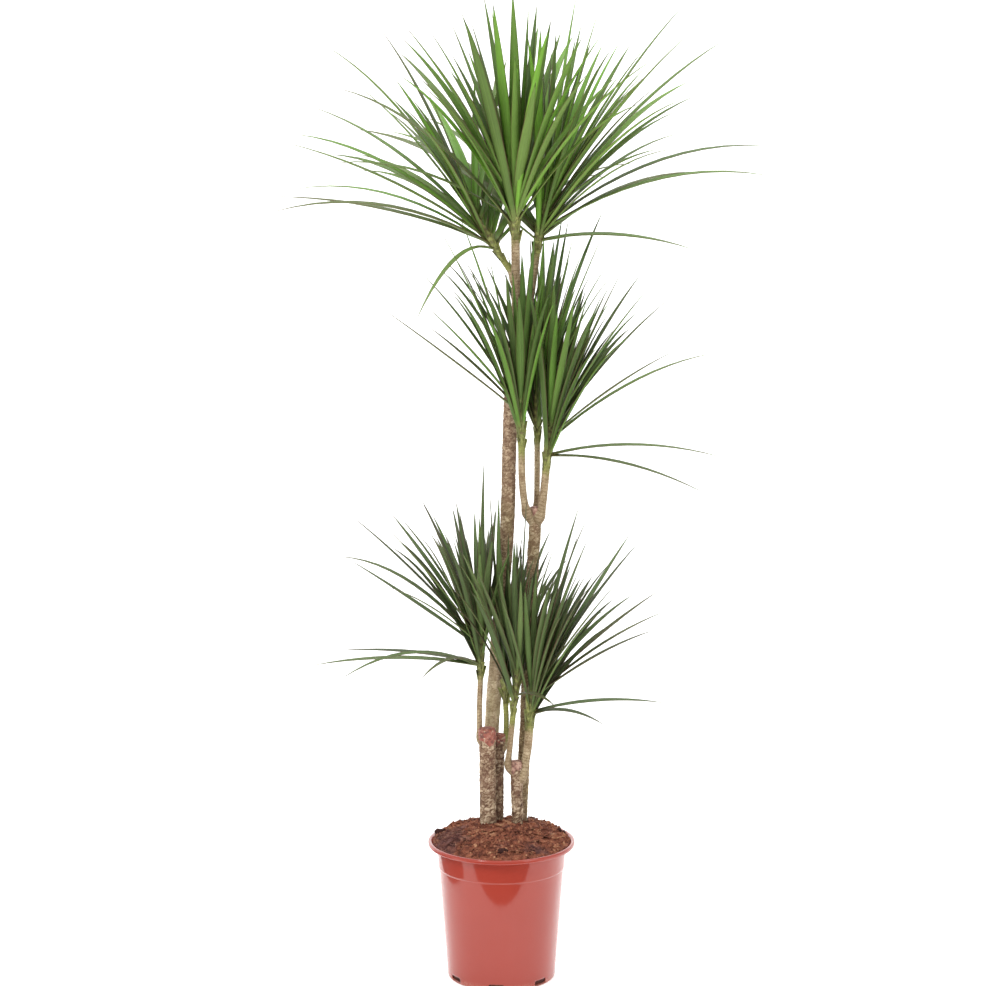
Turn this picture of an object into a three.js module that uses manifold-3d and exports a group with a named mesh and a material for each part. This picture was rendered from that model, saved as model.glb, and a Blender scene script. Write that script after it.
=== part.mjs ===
// Dragon tree with five canes and ten leafy heads in a round nursery pot.
// Millimetres, +Z up, front towards -Y. The origin is the centre of the pot's base.
import * as THREE from 'three';
import { mergeVertices } from 'three/addons/utils/BufferGeometryUtils.js';
import Module from 'manifold-3d';

const wasm = await Module();
wasm.setup();

// ---------------------------------------------------------------- driving dimensions

const clearance = 0.3; // between pieces that touch
const shootClearance = 0.45; // round a shoot, whose sides are flat
const caneClearance = 0.6; // round a cane

const pot = {
  sides: 36,
  height: 228,
  baseRadius: 88,
  grooveRadius: 102.2, // outside, where the collar starts
  grooveHeight: 184,
  collarStep: 1.4, // the collar stands this far proud of the body
  collarRadius: 106, // outside, under the lip
  lipRadius: 120,
  lipHeight: 7,
  lipRoll: 6, // width of the roll's flat top
  flareHeight: 216, // the wall opens out to the lip from here
  wall: 2.4,
  floor: 4,
  edgeRound: 5, // bottom edge and lip roundings
  baseCut: 0.3, // a rounding is drawn as flats that start at these shares of it
  lipCut: 0.4,
  footWidth: 16, // flat ring that the pot stands on
  padRadius: 48, // flat centre of the base
  recess: 2, // ring between the pad and the foot is raised this much
  slotCount: 7,
  slotStart: -57, // degrees from the front, towards the left
  slotWidth: 25,
  slotHeight: 9,
  slotLift: 2.5,
};

const soil = {
  edgeHeight: 227,
  edgeGap: 0.6, // from the pot's wall at the top
  moundHeight: 22, // centre above the edge
  moundShape: 2.4, // flatter in the middle where this is higher
  lump: 2.2, // uneven surface
  lumpLength: 19,
  lumpFade: 4, // lumps flatten out towards the edge
  rings: [0.86, 0.64, 0.36, 0], // shares of the edge radius
  holeStep: 60,
};

// Canes and shoots have flat sides, and a shoot starts from a knob on its cane.
const stems = {
  caneSides: 10,
  caneStep: 90,
  shootSides: 8,
  shootStep: 38,
  fewestSteps: 3,
  knobPlace: 0.18, // share of the shoot's path
  knobSize: 1.5, // share of the shoot's radius
  knobSides: 6,
  knobRows: 4,
};

const seal = {
  skirt: 11, // wax runs down the cane this far
  thickness: 1.3,
  dome: 3,
  crownWidth: 0.86, // where the dome starts, as shares of its width and height
  crownHeight: 0.7,
  sides: 10,
  drip: 5, // longest run of wax below the skirt
};

// Green stem tip of a head, widest and narrow again at shares of its length.
const core = { length: 84, swell: 1.1, tip: 2.6, sides: 6, widest: 0.3, neck: 0.7 };

const blade = {
  rows: 3,
  shoulder: 0.4, // widest at this share of the length
  rootWidth: 0.25, // share of the full width
  keel: 1.9, // depth of the channelled section
};

// A cane's path and its shoots' paths run upwards through points [x, y, z].
const canes = {
  tall: {
    radius: 11.5,
    path: [[-28, 74, 118], [-24, 72, 249], [-14, 71, 429], [-2, 66, 590], [9, 59, 731],
      [13, 52, 879], [18, 44, 1026]],
    shoots: [
      { radius: 7, path: [[19, 44, 985], [23, 32, 1030], [23, 28, 1107], [22, 26, 1214]] },
      { radius: 5.2, path: [[23, 28, 1128], [17, 32, 1148], [4, 40, 1168], [-4, 44, 1180]] },
      { radius: 6.6, path: [[18, 46, 990], [32, 56, 1036], [46, 62, 1110], [57, 62, 1190]] },
    ],
  },
  medium: {
    radius: 9.8,
    path: [[29, 66, 118], [33, 64, 251], [40, 63, 412], [46, 61, 560], [52, 59, 690], [56, 58, 767]],
    shoots: [
      { radius: 5.8, path: [[52, 57, 738], [41, 45, 762], [34, 34, 806], [32, 26, 885]] },
      { radius: 4.8, path: [[54, 60, 735], [57, 71, 766], [58, 75, 820], [58, 76, 884]] },
      { radius: 6.4, path: [[55, 58, 735], [65, 50, 766], [69, 47, 800], [73, 46, 844]] },
    ],
  },
  short_left: {
    radius: 13.4,
    path: [[-21, 28, 118], [-22, 28, 249], [-23, 28, 406]],
    shoots: [
      { radius: 4.6, path: [[-24, 31, 366], [-34, 38, 386], [-36, 39, 420], [-34, 38, 499]] },
    ],
  },
  short_back: {
    radius: 9.2,
    path: [[-7, 49, 118], [-6, 49, 251], [-4, 49, 391]],
    shoots: [
      { radius: 4.4, path: [[-4, 50, 352], [5, 56, 376], [8, 56, 410], [6, 53, 454]] },
    ],
  },
  short_right: {
    radius: 9.4,
    path: [[27, 29, 118], [26, 28, 252], [24, 28, 351]],
    shoots: [
      { radius: 4.8, path: [[23, 28, 326], [12, 27, 344], [14, 27, 378], [20, 27, 442]] },
      { radius: 7, path: [[25, 28, 308], [36, 31, 338], [43, 31, 375], [46, 31, 417]] },
    ],
  },
};

// Each head grows from the end of one shoot. Its placed leaves are [right, back, up] from the
// shoot's end to the leaf's tip, and the arch as a share of the length. The others follow a rule.
const heads = {
  top_left: {
    shoot: ['tall', 1], leaves: 36, length: 385, width: 17, lowest: 14,
    placed: [[-360, 10, 90, 0.05], [-350, -70, 70, 0.10], [-330, -50, 175, 0.05],
      [-295, 40, 230, 0.08], [-270, -30, 325, 0.10], [-185, 10, 350, 0.08],
      [-130, -110, -100, 0.22]],
  },
  top_centre: {
    shoot: ['tall', 0], leaves: 40, length: 375, width: 19, lowest: 30,
    placed: [[-170, -75, 320, 0.06], [-145, -105, 240, 0.05], [-100, 25, 325, 0.05],
      [-85, -45, 345, 0.04], [-50, 45, 370, 0.03], [-35, -75, 355, 0.04],
      [-5, -55, 375, 0.02], [30, -115, 235, 0.03], [130, -75, 305, 0.06]],
  },
  top_right: {
    shoot: ['tall', 2], leaves: 38, length: 395, width: 18, lowest: 14,
    placed: [[60, 5, 390, 0.04], [70, 45, 350, 0.03], [150, 65, 320, 0.05],
      [230, -15, 380, 0.06], [230, -75, 330, 0.06], [160, -115, 265, 0.04],
      [295, 5, 325, 0.07], [185, -55, 155, 0.09], [360, -15, 160, 0.10],
      [360, -55, 115, 0.10], [250, 15, -5, 0.07]],
  },
  middle_left: {
    shoot: ['medium', 0], leaves: 32, length: 320, width: 15, lowest: 62,
    placed: [[-215, -50, 210, 0.01], [-160, 20, 265, 0.05], [-145, -80, 215, 0.04],
      [-145, -20, 180, 0.03], [-125, 0, 330, 0.05], [-95, -40, 350, 0.05],
      [-50, -10, 285, 0.03], [20, -50, 335, 0.03], [-25, -70, 270, 0.04],
      [-5, -80, 240, 0.04], [0, 10, 300, 0.02]],
  },
  middle_back: {
    shoot: ['medium', 1], leaves: 30, length: 335, width: 14, lowest: 62,
    placed: [[40, 0, 355, 0.04], [50, 30, 345, 0.03], [55, -40, 320, 0.03],
      [105, 30, 360, 0.05], [100, -10, 320, 0.04], [10, -20, 330, 0.02],
      [20, -70, 290, 0.03]],
  },
  middle_right: {
    shoot: ['medium', 2], leaves: 34, length: 315, width: 16, lowest: 56,
    placed: [[115, -30, 305, 0.04], [85, -90, 280, 0.03], [150, 30, 300, 0.05],
      [155, -50, 280, 0.05], [190, 0, 260, 0.05], [195, -70, 185, 0.04],
      [265, 10, 175, 0.08], [280, -10, 10, 0.07], [250, -50, -42, 0.07],
      [40, -100, 270, 0.02], [10, -70, 300, 0.03], [15, -95, 255, 0.03],
      [-20, -80, 280, 0.03], [60, -90, 265, 0.04]],
  },
  low_left: {
    shoot: ['short_left', 0], leaves: 36, length: 285, width: 14, lowest: 56,
    placed: [[-275, 30, 5, 0.05], [-238, 70, 21, 0.04], [-225, -50, 0, 0.14],
      [-95, -70, 5, 0.19], [-230, 10, 190, 0.13], [-215, 60, 175, 0.02],
      [-205, -20, 260, 0.03], [-145, 40, 255, 0.04], [-145, -60, 245, 0.04],
      [-125, -20, 255, 0.06], [-140, -80, 155, 0.06], [-95, 0, 285, 0.05],
      [-90, -50, 285, 0.04], [-40, 40, 275, 0.04], [-40, -70, 240, 0.03],
      [5, -5, 345, 0.02], [20, -70, 235, 0.03], [0, -75, 220, 0.03]],
  },
  low_back: {
    shoot: ['short_back', 0], leaves: 24, length: 300, width: 12, lowest: 58,
    placed: [[-25, 10, 345, 0.02], [-10, 50, 345, 0.03], [-70, 30, 270, 0.05],
      [5, -15, 275, 0.02], [20, -10, 255, 0.02]],
  },
  low_centre: {
    shoot: ['short_right', 0], leaves: 26, length: 290, width: 13, lowest: 58,
    placed: [[20, -10, 345, 0.02], [0, -70, 290, 0.02], [-60, -100, 250, 0.03],
      [65, -90, 25, 0.10], [-25, -90, 240, 0.03], [10, -80, 235, 0.03],
      [-10, -60, 240, 0.03], [30, -90, 235, 0.03]],
  },
  low_right: {
    shoot: ['short_right', 1], leaves: 34, length: 295, width: 15, lowest: 54,
    placed: [[80, 40, 350, 0.04], [90, 0, 335, 0.10], [75, -20, 320, 0.03],
      [90, -60, 315, 0.03], [165, 70, 300, 0.03], [175, -10, 300, 0.04],
      [135, -60, 240, 0.03], [170, 40, 205, 0.07], [210, 20, 215, 0.03],
      [215, -30, 190, 0.05], [195, -80, 170, 0.05], [220, 10, 30, 0.06],
      [10, -60, 265, 0.03], [30, -85, 245, 0.03], [120, -60, 10, 0.12]],
  },
};

const growth = {
  turn: 137.5, // degrees between one leaf and the next
  turnSpread: 26,
  headTurn: 40, // degrees between one head's first leaf and the next head's
  highest: 84, // rise of the youngest leaves in degrees
  riseShape: 0.75,
  riseSpread: 12,
  frontRise: 74, // leaves towards the front stand up at least this much
  face: 24, // degrees that a leaf to either side turns its face to the front
  placedFace: 12,
  shortest: 0.78, // share of the head's leaf length
  narrowest: 0.84, // share of the head's leaf width
  widthSpread: 0.2,
  archLow: 0.11, // old leaves bend over more than young ones
  archHigh: 0.03,
  rootLow: 12, // first and last leaf roots, measured up the core
  rootHigh: 74,
  placedRoot: 0.8, // placed leaves keep to this share of the roots' range
  rootRing: 0.5, // roots stand round the core at this share of its radius
  roll: 22, // degrees that a blade may lean sideways
  tries: 28,
  shift: 13, // a placed leaf moves back or forwards by this much a try
  turnPerTry: 14, // another leaf turns further and grows shorter at each try
  shorterPerTry: 0.006,
  drawsPerTry: 101,
  spare: 0.6, // kept between two pieces
  stemSpare: 1.5, // more round canes and shoots, which bend between their points
};

// Steps that spread the even draws.
const drawSteps = { head: 127.1, leaf: 311.7, use: 74.7, stretch: 43758.5453 };

const finishes = {
  pot: { color: 0xbe5c50, roughness: 0.35 },
  soil: { color: 0x7a4a36, roughness: 0.95 },
  bark: { color: 0x9c7d62, roughness: 0.85 },
  wax: { color: 0xb4574a, roughness: 0.4 },
  top: { color: 0x4c7430, roughness: 0.5 },
  middle: { color: 0x45632f, roughness: 0.5 },
  low: { color: 0x4a5a3a, roughness: 0.5 },
};

// ---------------------------------------------------------------- solids and meshes

const up = new THREE.Vector3(0, 0, 1);

function toSolid(geometry) {
  const bare = geometry.clone();
  bare.deleteAttribute('normal');
  bare.deleteAttribute('uv');
  const merged = mergeVertices(bare, 1e-4);
  return new wasm.Manifold(new wasm.Mesh({
    numProp: 3,
    vertProperties: new Float32Array(merged.attributes.position.array),
    triVerts: new Uint32Array(merged.index.array),
  }));
}

// Only the outermost shell is kept: hollows sealed by joining are filled, loose scraps dropped.
function outerShell(solid) {
  const shells = solid.decompose();
  return shells.reduce((best, shell) => (shell.volume() > best.volume() ? shell : best));
}

function toMesh(name, solid, finish) {
  const result = outerShell(solid).getMesh();
  const geometry = new THREE.BufferGeometry();
  geometry.setAttribute('position', new THREE.BufferAttribute(new Float32Array(result.vertProperties), 3));
  geometry.setIndex(new THREE.BufferAttribute(new Uint32Array(result.triVerts), 1));
  geometry.computeVertexNormals();
  const mesh = new THREE.Mesh(geometry, new THREE.MeshStandardMaterial(finish));
  mesh.name = name;
  return mesh;
}

// A closed profile of [radius, height] points turned about the vertical axis.
function turned(profile, sides) {
  const points = profile.map(([radius, height]) => new THREE.Vector2(radius, height));
  return new THREE.LatheGeometry(points, sides).rotateX(Math.PI / 2);
}

function pathOf(points) {
  return new THREE.CatmullRomCurve3(points.map((point) => new THREE.Vector3(...point)));
}

function tube(curve, radius, sides, stepLength) {
  const section = new THREE.Shape();
  section.absarc(0, 0, radius, 0, Math.PI * 2);
  return new THREE.ExtrudeGeometry(section, {
    extrudePath: curve,
    steps: Math.max(stems.fewestSteps, Math.round(curve.getLength() / stepLength)),
    curveSegments: Math.ceil(sides / 2),
    bevelEnabled: false,
  });
}

// Turns a shape made along +Z to a direction and moves it to a place.
function aim(geometry, place, direction) {
  const turn = new THREE.Quaternion().setFromUnitVectors(up, direction.clone().normalize());
  return geometry.applyQuaternion(turn).translate(place.x, place.y, place.z);
}

// ---------------------------------------------------------------- pot and soil

function bodyRadius(height) {
  const slope = (pot.grooveRadius - pot.baseRadius) / pot.grooveHeight;
  return pot.baseRadius + slope * height;
}

// The inside follows the body, stands a little steeper in the collar and flares to the lip.
function insideHeights() {
  return [pot.floor, pot.grooveHeight, pot.flareHeight, pot.height];
}

function innerRadius(height) {
  const mix = THREE.MathUtils.mapLinear;
  const neck = pot.collarRadius - pot.wall;
  if (height <= pot.grooveHeight) {
    return bodyRadius(height) - pot.wall;
  }
  if (height <= pot.flareHeight) {
    return mix(height, pot.grooveHeight, pot.flareHeight, pot.grooveRadius - pot.wall, neck);
  }
  return mix(height, pot.flareHeight, pot.height, neck, pot.lipRadius - pot.lipRoll);
}

function potProfile() {
  const lipUnder = pot.height - pot.lipHeight;
  const collarFoot = bodyRadius(pot.grooveHeight) + pot.collarStep;
  const round = pot.edgeRound;
  const cut = round * pot.lipCut;
  const bottom = [
    [0, 0],
    [pot.padRadius, 0],
    [pot.padRadius + pot.recess, pot.recess],
    [pot.baseRadius - pot.footWidth - pot.recess, pot.recess],
    [pot.baseRadius - pot.footWidth, 0],
    [pot.baseRadius - round, 0],
    [pot.baseRadius - round * pot.baseCut, round * pot.baseCut],
  ];
  const outside = [
    [bodyRadius(round), round],
    [bodyRadius(pot.grooveHeight), pot.grooveHeight],
    [collarFoot, pot.grooveHeight + pot.collarStep],
    [pot.collarRadius, lipUnder - round / 2],
    [pot.collarRadius + round / 2, lipUnder],
    [pot.lipRadius - cut, lipUnder],
    [pot.lipRadius, lipUnder + cut],
    [pot.lipRadius, pot.height - cut],
    [pot.lipRadius - cut, pot.height],
  ];
  const inside = insideHeights().reverse().map((height) => [innerRadius(height), height]);
  return [...bottom, ...outside, ...inside, [0, pot.floor]];
}

function makePot() {
  let solid = toSolid(turned(potProfile(), pot.sides));
  for (let index = 0; index < pot.slotCount; index += 1) {
    const angle = THREE.MathUtils.degToRad(pot.slotStart + (index * 360) / pot.slotCount);
    const slot = new THREE.BoxGeometry(pot.slotWidth, pot.footWidth, pot.slotHeight);
    slot.translate(0, -pot.baseRadius, pot.slotLift + pot.slotHeight / 2);
    slot.rotateZ(angle);
    solid = solid.subtract(toSolid(slot));
  }
  return toMesh('pot', solid, finishes.pot);
}

function soilEdge() {
  return innerRadius(soil.edgeHeight) - soil.edgeGap;
}

// Height of the soil's surface, highest in the middle and a little uneven.
function soilHeight(x, y) {
  const share = Math.min(1, Math.hypot(x, y) / soilEdge());
  const mound = soil.moundHeight * (1 - share ** soil.moundShape);
  const lumps = soil.lump * Math.sin(x / soil.lumpLength) * Math.cos(y / soil.lumpLength + 1);
  return soil.edgeHeight + mound + lumps * (1 - share ** soil.lumpFade);
}

function makeSoil() {
  const edge = soilEdge();
  const foot = pot.floor + clearance;
  const wallHeights = [foot, pot.grooveHeight, pot.flareHeight];
  const profile = [
    [0, foot],
    ...wallHeights.map((height) => [innerRadius(height) - clearance, height]),
    [edge, soil.edgeHeight],
    ...soil.rings.map((share) => [edge * share, pot.height]),
  ];
  const geometry = turned(profile, pot.sides);
  const position = geometry.attributes.position;
  for (let index = 0; index < position.count; index += 1) {
    if (position.getZ(index) > soil.edgeHeight) {
      position.setZ(index, soilHeight(position.getX(index), position.getY(index)));
    }
  }
  let solid = toSolid(geometry);
  for (const cane of Object.values(canes)) {
    const hole = [...cane.path];
    const [x, y, z] = hole[0];
    hole[0] = [x, y, z - clearance];
    const cutter = tube(pathOf(hole), cane.radius + caneClearance, stems.caneSides, soil.holeStep);
    solid = solid.subtract(toSolid(cutter));
  }
  return toMesh('soil', solid, finishes.soil);
}

// ---------------------------------------------------------------- canes and wax

function makeKnob(shoot, extra) {
  const { x, y, z } = pathOf(shoot.path).getPointAt(stems.knobPlace);
  const radius = (shoot.radius + extra) * stems.knobSize;
  const ball = new THREE.SphereGeometry(radius, stems.knobSides, stems.knobRows);
  return toSolid(ball.translate(x, y, z));
}

function makeShoot(shoot, extra) {
  const stem = tube(pathOf(shoot.path), shoot.radius + extra, stems.shootSides, stems.shootStep);
  return toSolid(stem);
}

function makeCane(name, cane) {
  let solid = toSolid(tube(pathOf(cane.path), cane.radius, stems.caneSides, stems.caneStep));
  for (const shoot of cane.shoots) {
    solid = solid.add(makeShoot(shoot, 0)).add(makeKnob(shoot, 0));
  }
  return toMesh(`cane_${name}`, solid, finishes.bark);
}

// A cap of wax over the cut top, with an uneven lower edge, cut clear of the cane and its shoots.
function makeSeal(name, cane) {
  const curve = pathOf(cane.path);
  const direction = curve.getTangentAt(1);
  const hollow = (cane.radius + caneClearance) / Math.cos(Math.PI / stems.caneSides);
  const outer = hollow + seal.thickness;
  const profile = [
    [0, -seal.skirt],
    [outer, -seal.skirt],
    [outer, 0],
    [outer * seal.crownWidth, seal.dome * seal.crownHeight],
    [0, seal.dome],
  ];
  const geometry = turned(profile, seal.sides);
  const position = geometry.attributes.position;
  for (let index = 0; index < position.count; index += 1) {
    const point = new THREE.Vector3().fromBufferAttribute(position, index);
    const isSkirt = point.z < 0 && Math.hypot(point.x, point.y) > 1;
    if (isSkirt) {
      const angle = Math.atan2(point.y, point.x);
      const run = Math.max(0, Math.sin(angle * 2 + cane.radius)) * seal.drip;
      position.setZ(index, point.z - run);
    }
  }
  let solid = toSolid(aim(geometry, curve.getPointAt(1), direction));
  const plugLength = seal.skirt * 4;
  const plug = new THREE.CylinderGeometry(hollow, hollow, plugLength, stems.caneSides);
  plug.rotateX(Math.PI / 2).translate(0, 0, clearance - plugLength / 2);
  solid = solid.subtract(toSolid(aim(plug, curve.getPointAt(1), direction)));
  for (const shoot of cane.shoots) {
    solid = solid.subtract(makeShoot(shoot, shootClearance)).subtract(makeKnob(shoot, clearance));
  }
  return toMesh(`wax_${name}`, solid, finishes.wax);
}

// ---------------------------------------------------------------- leaf placing

const names = Object.keys(heads);

// An even draw from 0 to 1 that depends only on the head, the leaf and what it is for.
function draw(head, leaf, use) {
  const mixed = head * drawSteps.head + leaf * drawSteps.leaf + use * drawSteps.use;
  const value = Math.sin(mixed) * drawSteps.stretch;
  return value - Math.floor(value);
}

// The end of a head's shoot, and the way that it points.
function baseOf(head) {
  const [cane, index] = head.shoot;
  const shoot = canes[cane].shoots[index];
  const [before, place] = shoot.path.slice(-2).map((point) => new THREE.Vector3(...point));
  return { place, direction: place.clone().sub(before).normalize(), radius: shoot.radius };
}

// A leaf rises from its root to its tip over a control point that gives the arch.
function leafTo(base, rootHeight, reach, arch, width, face, roll) {
  const outward = new THREE.Vector3(reach.x, reach.y, 0).normalize();
  const root = base.place.clone().addScaledVector(base.direction, rootHeight);
  root.addScaledVector(outward, base.radius * growth.rootRing);
  const tip = base.place.clone().add(reach);
  const chord = tip.clone().sub(root);
  const bend = root.clone().addScaledVector(chord, 0.5).addScaledVector(up, arch * 2 * chord.length());
  const lean = THREE.MathUtils.degToRad(roll + face * outward.x);
  const side = up.clone().cross(outward).applyAxisAngle(chord.clone().normalize(), lean);
  return { curve: new THREE.QuadraticBezierCurve3(root, bend, tip), side, width };
}

function placedLeaf(head, base, index, attempt) {
  const [right, back, rise, arch] = head.placed[index];
  const step = Math.ceil(attempt / 2) * (attempt % 2 ? 1 : -1);
  const reach = new THREE.Vector3(right, back + step * growth.shift, rise);
  const share = THREE.MathUtils.clamp(rise / reach.length(), 0, 1);
  const rootHeight = growth.rootLow + (growth.rootHigh - growth.rootLow) * share * growth.placedRoot;
  return leafTo(base, rootHeight, reach, arch, head.width, growth.placedFace, 0);
}

function ruleLeaf(head, headIndex, base, index, attempt) {
  const leaf = index + attempt * growth.drawsPerTry;
  const age = index / (head.leaves - 1); // 0 is the oldest and lowest leaf
  const turn = index * growth.turn + headIndex * growth.headTurn
    + (draw(headIndex, leaf, 1) - 0.5) * (growth.turnSpread + attempt * growth.turnPerTry);
  const rise = head.lowest + (growth.highest - head.lowest) * age ** growth.riseShape
    + (draw(headIndex, leaf, 2) - 0.5) * growth.riseSpread;
  const share = growth.shortest + (1 - growth.shortest) * draw(headIndex, leaf, 3);
  const length = head.length * share * (1 - attempt * growth.shorterPerTry);
  const azimuth = THREE.MathUtils.degToRad(turn);
  const slope = THREE.MathUtils.degToRad(Math.max(rise, growth.frontRise * -Math.sin(azimuth)));
  const reach = new THREE.Vector3(
    Math.cos(azimuth) * Math.cos(slope),
    Math.sin(azimuth) * Math.cos(slope),
    Math.sin(slope),
  ).multiplyScalar(length);
  const arch = growth.archLow + (growth.archHigh - growth.archLow) * age;
  const rootHeight = growth.rootLow + (growth.rootHigh - growth.rootLow) * age;
  const width = head.width * (growth.narrowest + growth.widthSpread * draw(headIndex, leaf, 4));
  const roll = (draw(headIndex, leaf, 5) - 0.5) * 2 * growth.roll;
  return leafTo(base, rootHeight, reach, arch, width, growth.face, roll);
}

// Share of the full width at a share of the length from the root.
function outline(along) {
  if (along < blade.shoulder) {
    return blade.rootWidth + (1 - blade.rootWidth) * Math.sin((along / blade.shoulder) * Math.PI / 2);
  }
  return 1 - ((along - blade.shoulder) / (1 - blade.shoulder)) ** 2;
}

// A straight length of a blade or a stem, for measuring what lies between two of them.
function lengthOf(start, end, shape) {
  const middle = start.clone().add(end).multiplyScalar(0.5);
  const size = start.distanceTo(end) / 2 + shape.half + shape.thick;
  return { start, end, middle, size, ...shape };
}

function bladeLengths(leaf, owner) {
  const lengths = [];
  for (let row = 0; row < blade.rows; row += 1) {
    const from = row / blade.rows;
    const to = (row + 1) / blade.rows;
    const holdsShoulder = from < blade.shoulder && to > blade.shoulder;
    const half = Math.max(outline(from), outline(to), holdsShoulder ? 1 : 0);
    lengths.push(lengthOf(leaf.curve.getPoint(from), leaf.curve.getPoint(to), {
      side: leaf.side,
      half: (half * leaf.width) / 2,
      thick: blade.keel / 2,
      owner,
      row,
    }));
  }
  return lengths;
}

function stemLengths(points, radius, owner) {
  const shape = { side: new THREE.Vector3(), half: 0, thick: radius, owner, row: 0 };
  return points.slice(1).map((end, index) => lengthOf(points[index], end, shape));
}

function reachOf(length, normal) {
  return Math.abs(normal.dot(length.side)) * length.half + length.thick;
}

// True when two straight lengths, with their width and thickness, stay apart.
function apart(first, second) {
  const along = first.end.clone().sub(first.start);
  const across = second.end.clone().sub(second.start);
  const between = first.start.clone().sub(second.start);
  const a = along.dot(along);
  const e = across.dot(across);
  const b = along.dot(across);
  const c = along.dot(between);
  const f = across.dot(between);
  const spread = a * e - b * b;
  let s = spread > 1e-6 ? THREE.MathUtils.clamp((b * f - c * e) / spread, 0, 1) : 0;
  let t = (b * s + f) / e;
  if (t < 0) {
    t = 0;
    s = THREE.MathUtils.clamp(-c / a, 0, 1);
  } else if (t > 1) {
    t = 1;
    s = THREE.MathUtils.clamp((b - c) / a, 0, 1);
  }
  const normal = between.addScaledVector(along, s).addScaledVector(across, -t);
  const distance = normal.length();
  normal.normalize();
  return distance > reachOf(first, normal) + reachOf(second, normal) + growth.spare;
}

function isNear(first, second) {
  const limit = first.size + second.size + growth.spare;
  return first.middle.distanceTo(second.middle) < limit;
}

// Blades of one head may meet only along their first lengths, where they grow together.
function isClear(leaf, owner, taken) {
  const lengths = bladeLengths(leaf, owner);
  return lengths.every((length) => taken.every((other) => {
    const growTogether = other.owner === owner && (length.row === 0 || other.row === 0);
    return growTogether || !isNear(length, other) || apart(length, other);
  }));
}

function stemsInTheWay() {
  const taken = [];
  for (const cane of Object.values(canes)) {
    for (const stem of [cane, ...cane.shoots]) {
      const points = stem.path.map((point) => new THREE.Vector3(...point));
      taken.push(...stemLengths(points, stem.radius + growth.stemSpare, 'cane'));
    }
  }
  names.forEach((name) => {
    const base = baseOf(heads[name]);
    const top = base.place.clone().addScaledVector(base.direction, core.length);
    taken.push(...stemLengths([base.place, top], base.radius * core.swell, name));
  });
  return taken;
}

// Leaves are set one at a time. A leaf that would touch another head or a stem is set anew.
function placeLeaves() {
  const taken = stemsInTheWay();
  const leaves = Object.fromEntries(names.map((name) => [name, []]));
  const settle = (name, make) => {
    for (let attempt = 0; attempt < growth.tries; attempt += 1) {
      const leaf = make(attempt);
      if (isClear(leaf, name, taken)) {
        leaves[name].push(leaf);
        taken.push(...bladeLengths(leaf, name));
        return;
      }
    }
  };
  names.forEach((name) => {
    const head = heads[name];
    const base = baseOf(head);
    head.placed.forEach((_, index) => settle(name, (attempt) => placedLeaf(head, base, index, attempt)));
  });
  const most = Math.max(...names.map((name) => heads[name].leaves));
  for (let index = 0; index < most; index += 1) {
    names.forEach((name, headIndex) => {
      const head = heads[name];
      const isRule = index < head.leaves - head.placed.length;
      if (isRule) {
        const spread = Math.round((index * (head.leaves - 1)) / (head.leaves - head.placed.length - 1));
        settle(name, (attempt) => ruleLeaf(head, headIndex, baseOf(head), spread, attempt));
      }
    });
  }
  return leaves;
}

// ---------------------------------------------------------------- leafy heads

// A slim three-sided cone whose rows are moved onto the leaf's curve: two edges and a keel.
function makeBlade(leaf) {
  const geometry = new THREE.ConeGeometry(1, 1, 3, blade.rows);
  const position = geometry.attributes.position;
  const cornerReach = Math.sin(Math.PI / 3);
  for (let index = 0; index < position.count; index += 1) {
    const along = position.getY(index) + 0.5;
    const radius = Math.max(1 - along, 1e-6);
    const across = position.getX(index) / radius / cornerReach;
    const under = (position.getZ(index) / radius + 0.5) / 1.5;
    const isAxis = Math.hypot(position.getX(index), position.getZ(index)) < 1e-9;
    const share = isAxis ? 0 : outline(along);
    const down = leaf.side.clone().cross(leaf.curve.getTangent(along));
    const point = leaf.curve.getPoint(along)
      .addScaledVector(leaf.side, across * share * (leaf.width / 2))
      .addScaledVector(down, under * share * blade.keel);
    position.setXYZ(index, point.x, point.y, point.z);
  }
  return geometry;
}

function makeCore(head) {
  const base = baseOf(head);
  const profile = [
    [0, clearance],
    [base.radius, clearance],
    [base.radius * core.swell, core.length * core.widest],
    [base.radius, core.length * core.neck],
    [core.tip, core.length],
    [0, core.length],
  ];
  return toSolid(aim(turned(profile, core.sides), base.place, base.direction));
}

function makeHead(name, leaves) {
  let solid = makeCore(heads[name]);
  for (const leaf of leaves) {
    solid = solid.add(toSolid(makeBlade(leaf)));
  }
  const [tier] = name.split('_');
  return toMesh(`leaves_${name}`, solid, finishes[tier]);
}

// ---------------------------------------------------------------- the plant

const plant = new THREE.Group();
plant.add(makePot());
plant.add(makeSoil());
for (const [name, cane] of Object.entries(canes)) {
  plant.add(makeCane(name, cane));
  plant.add(makeSeal(name, cane));
}
const placedLeaves = placeLeaves();
for (const name of names) {
  plant.add(makeHead(name, placedLeaves[name]));
}

export default plant;
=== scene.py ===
import math
import random

import bmesh
import bpy
import numpy as np
from mathutils import Euler, Matrix, Vector, noise


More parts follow.
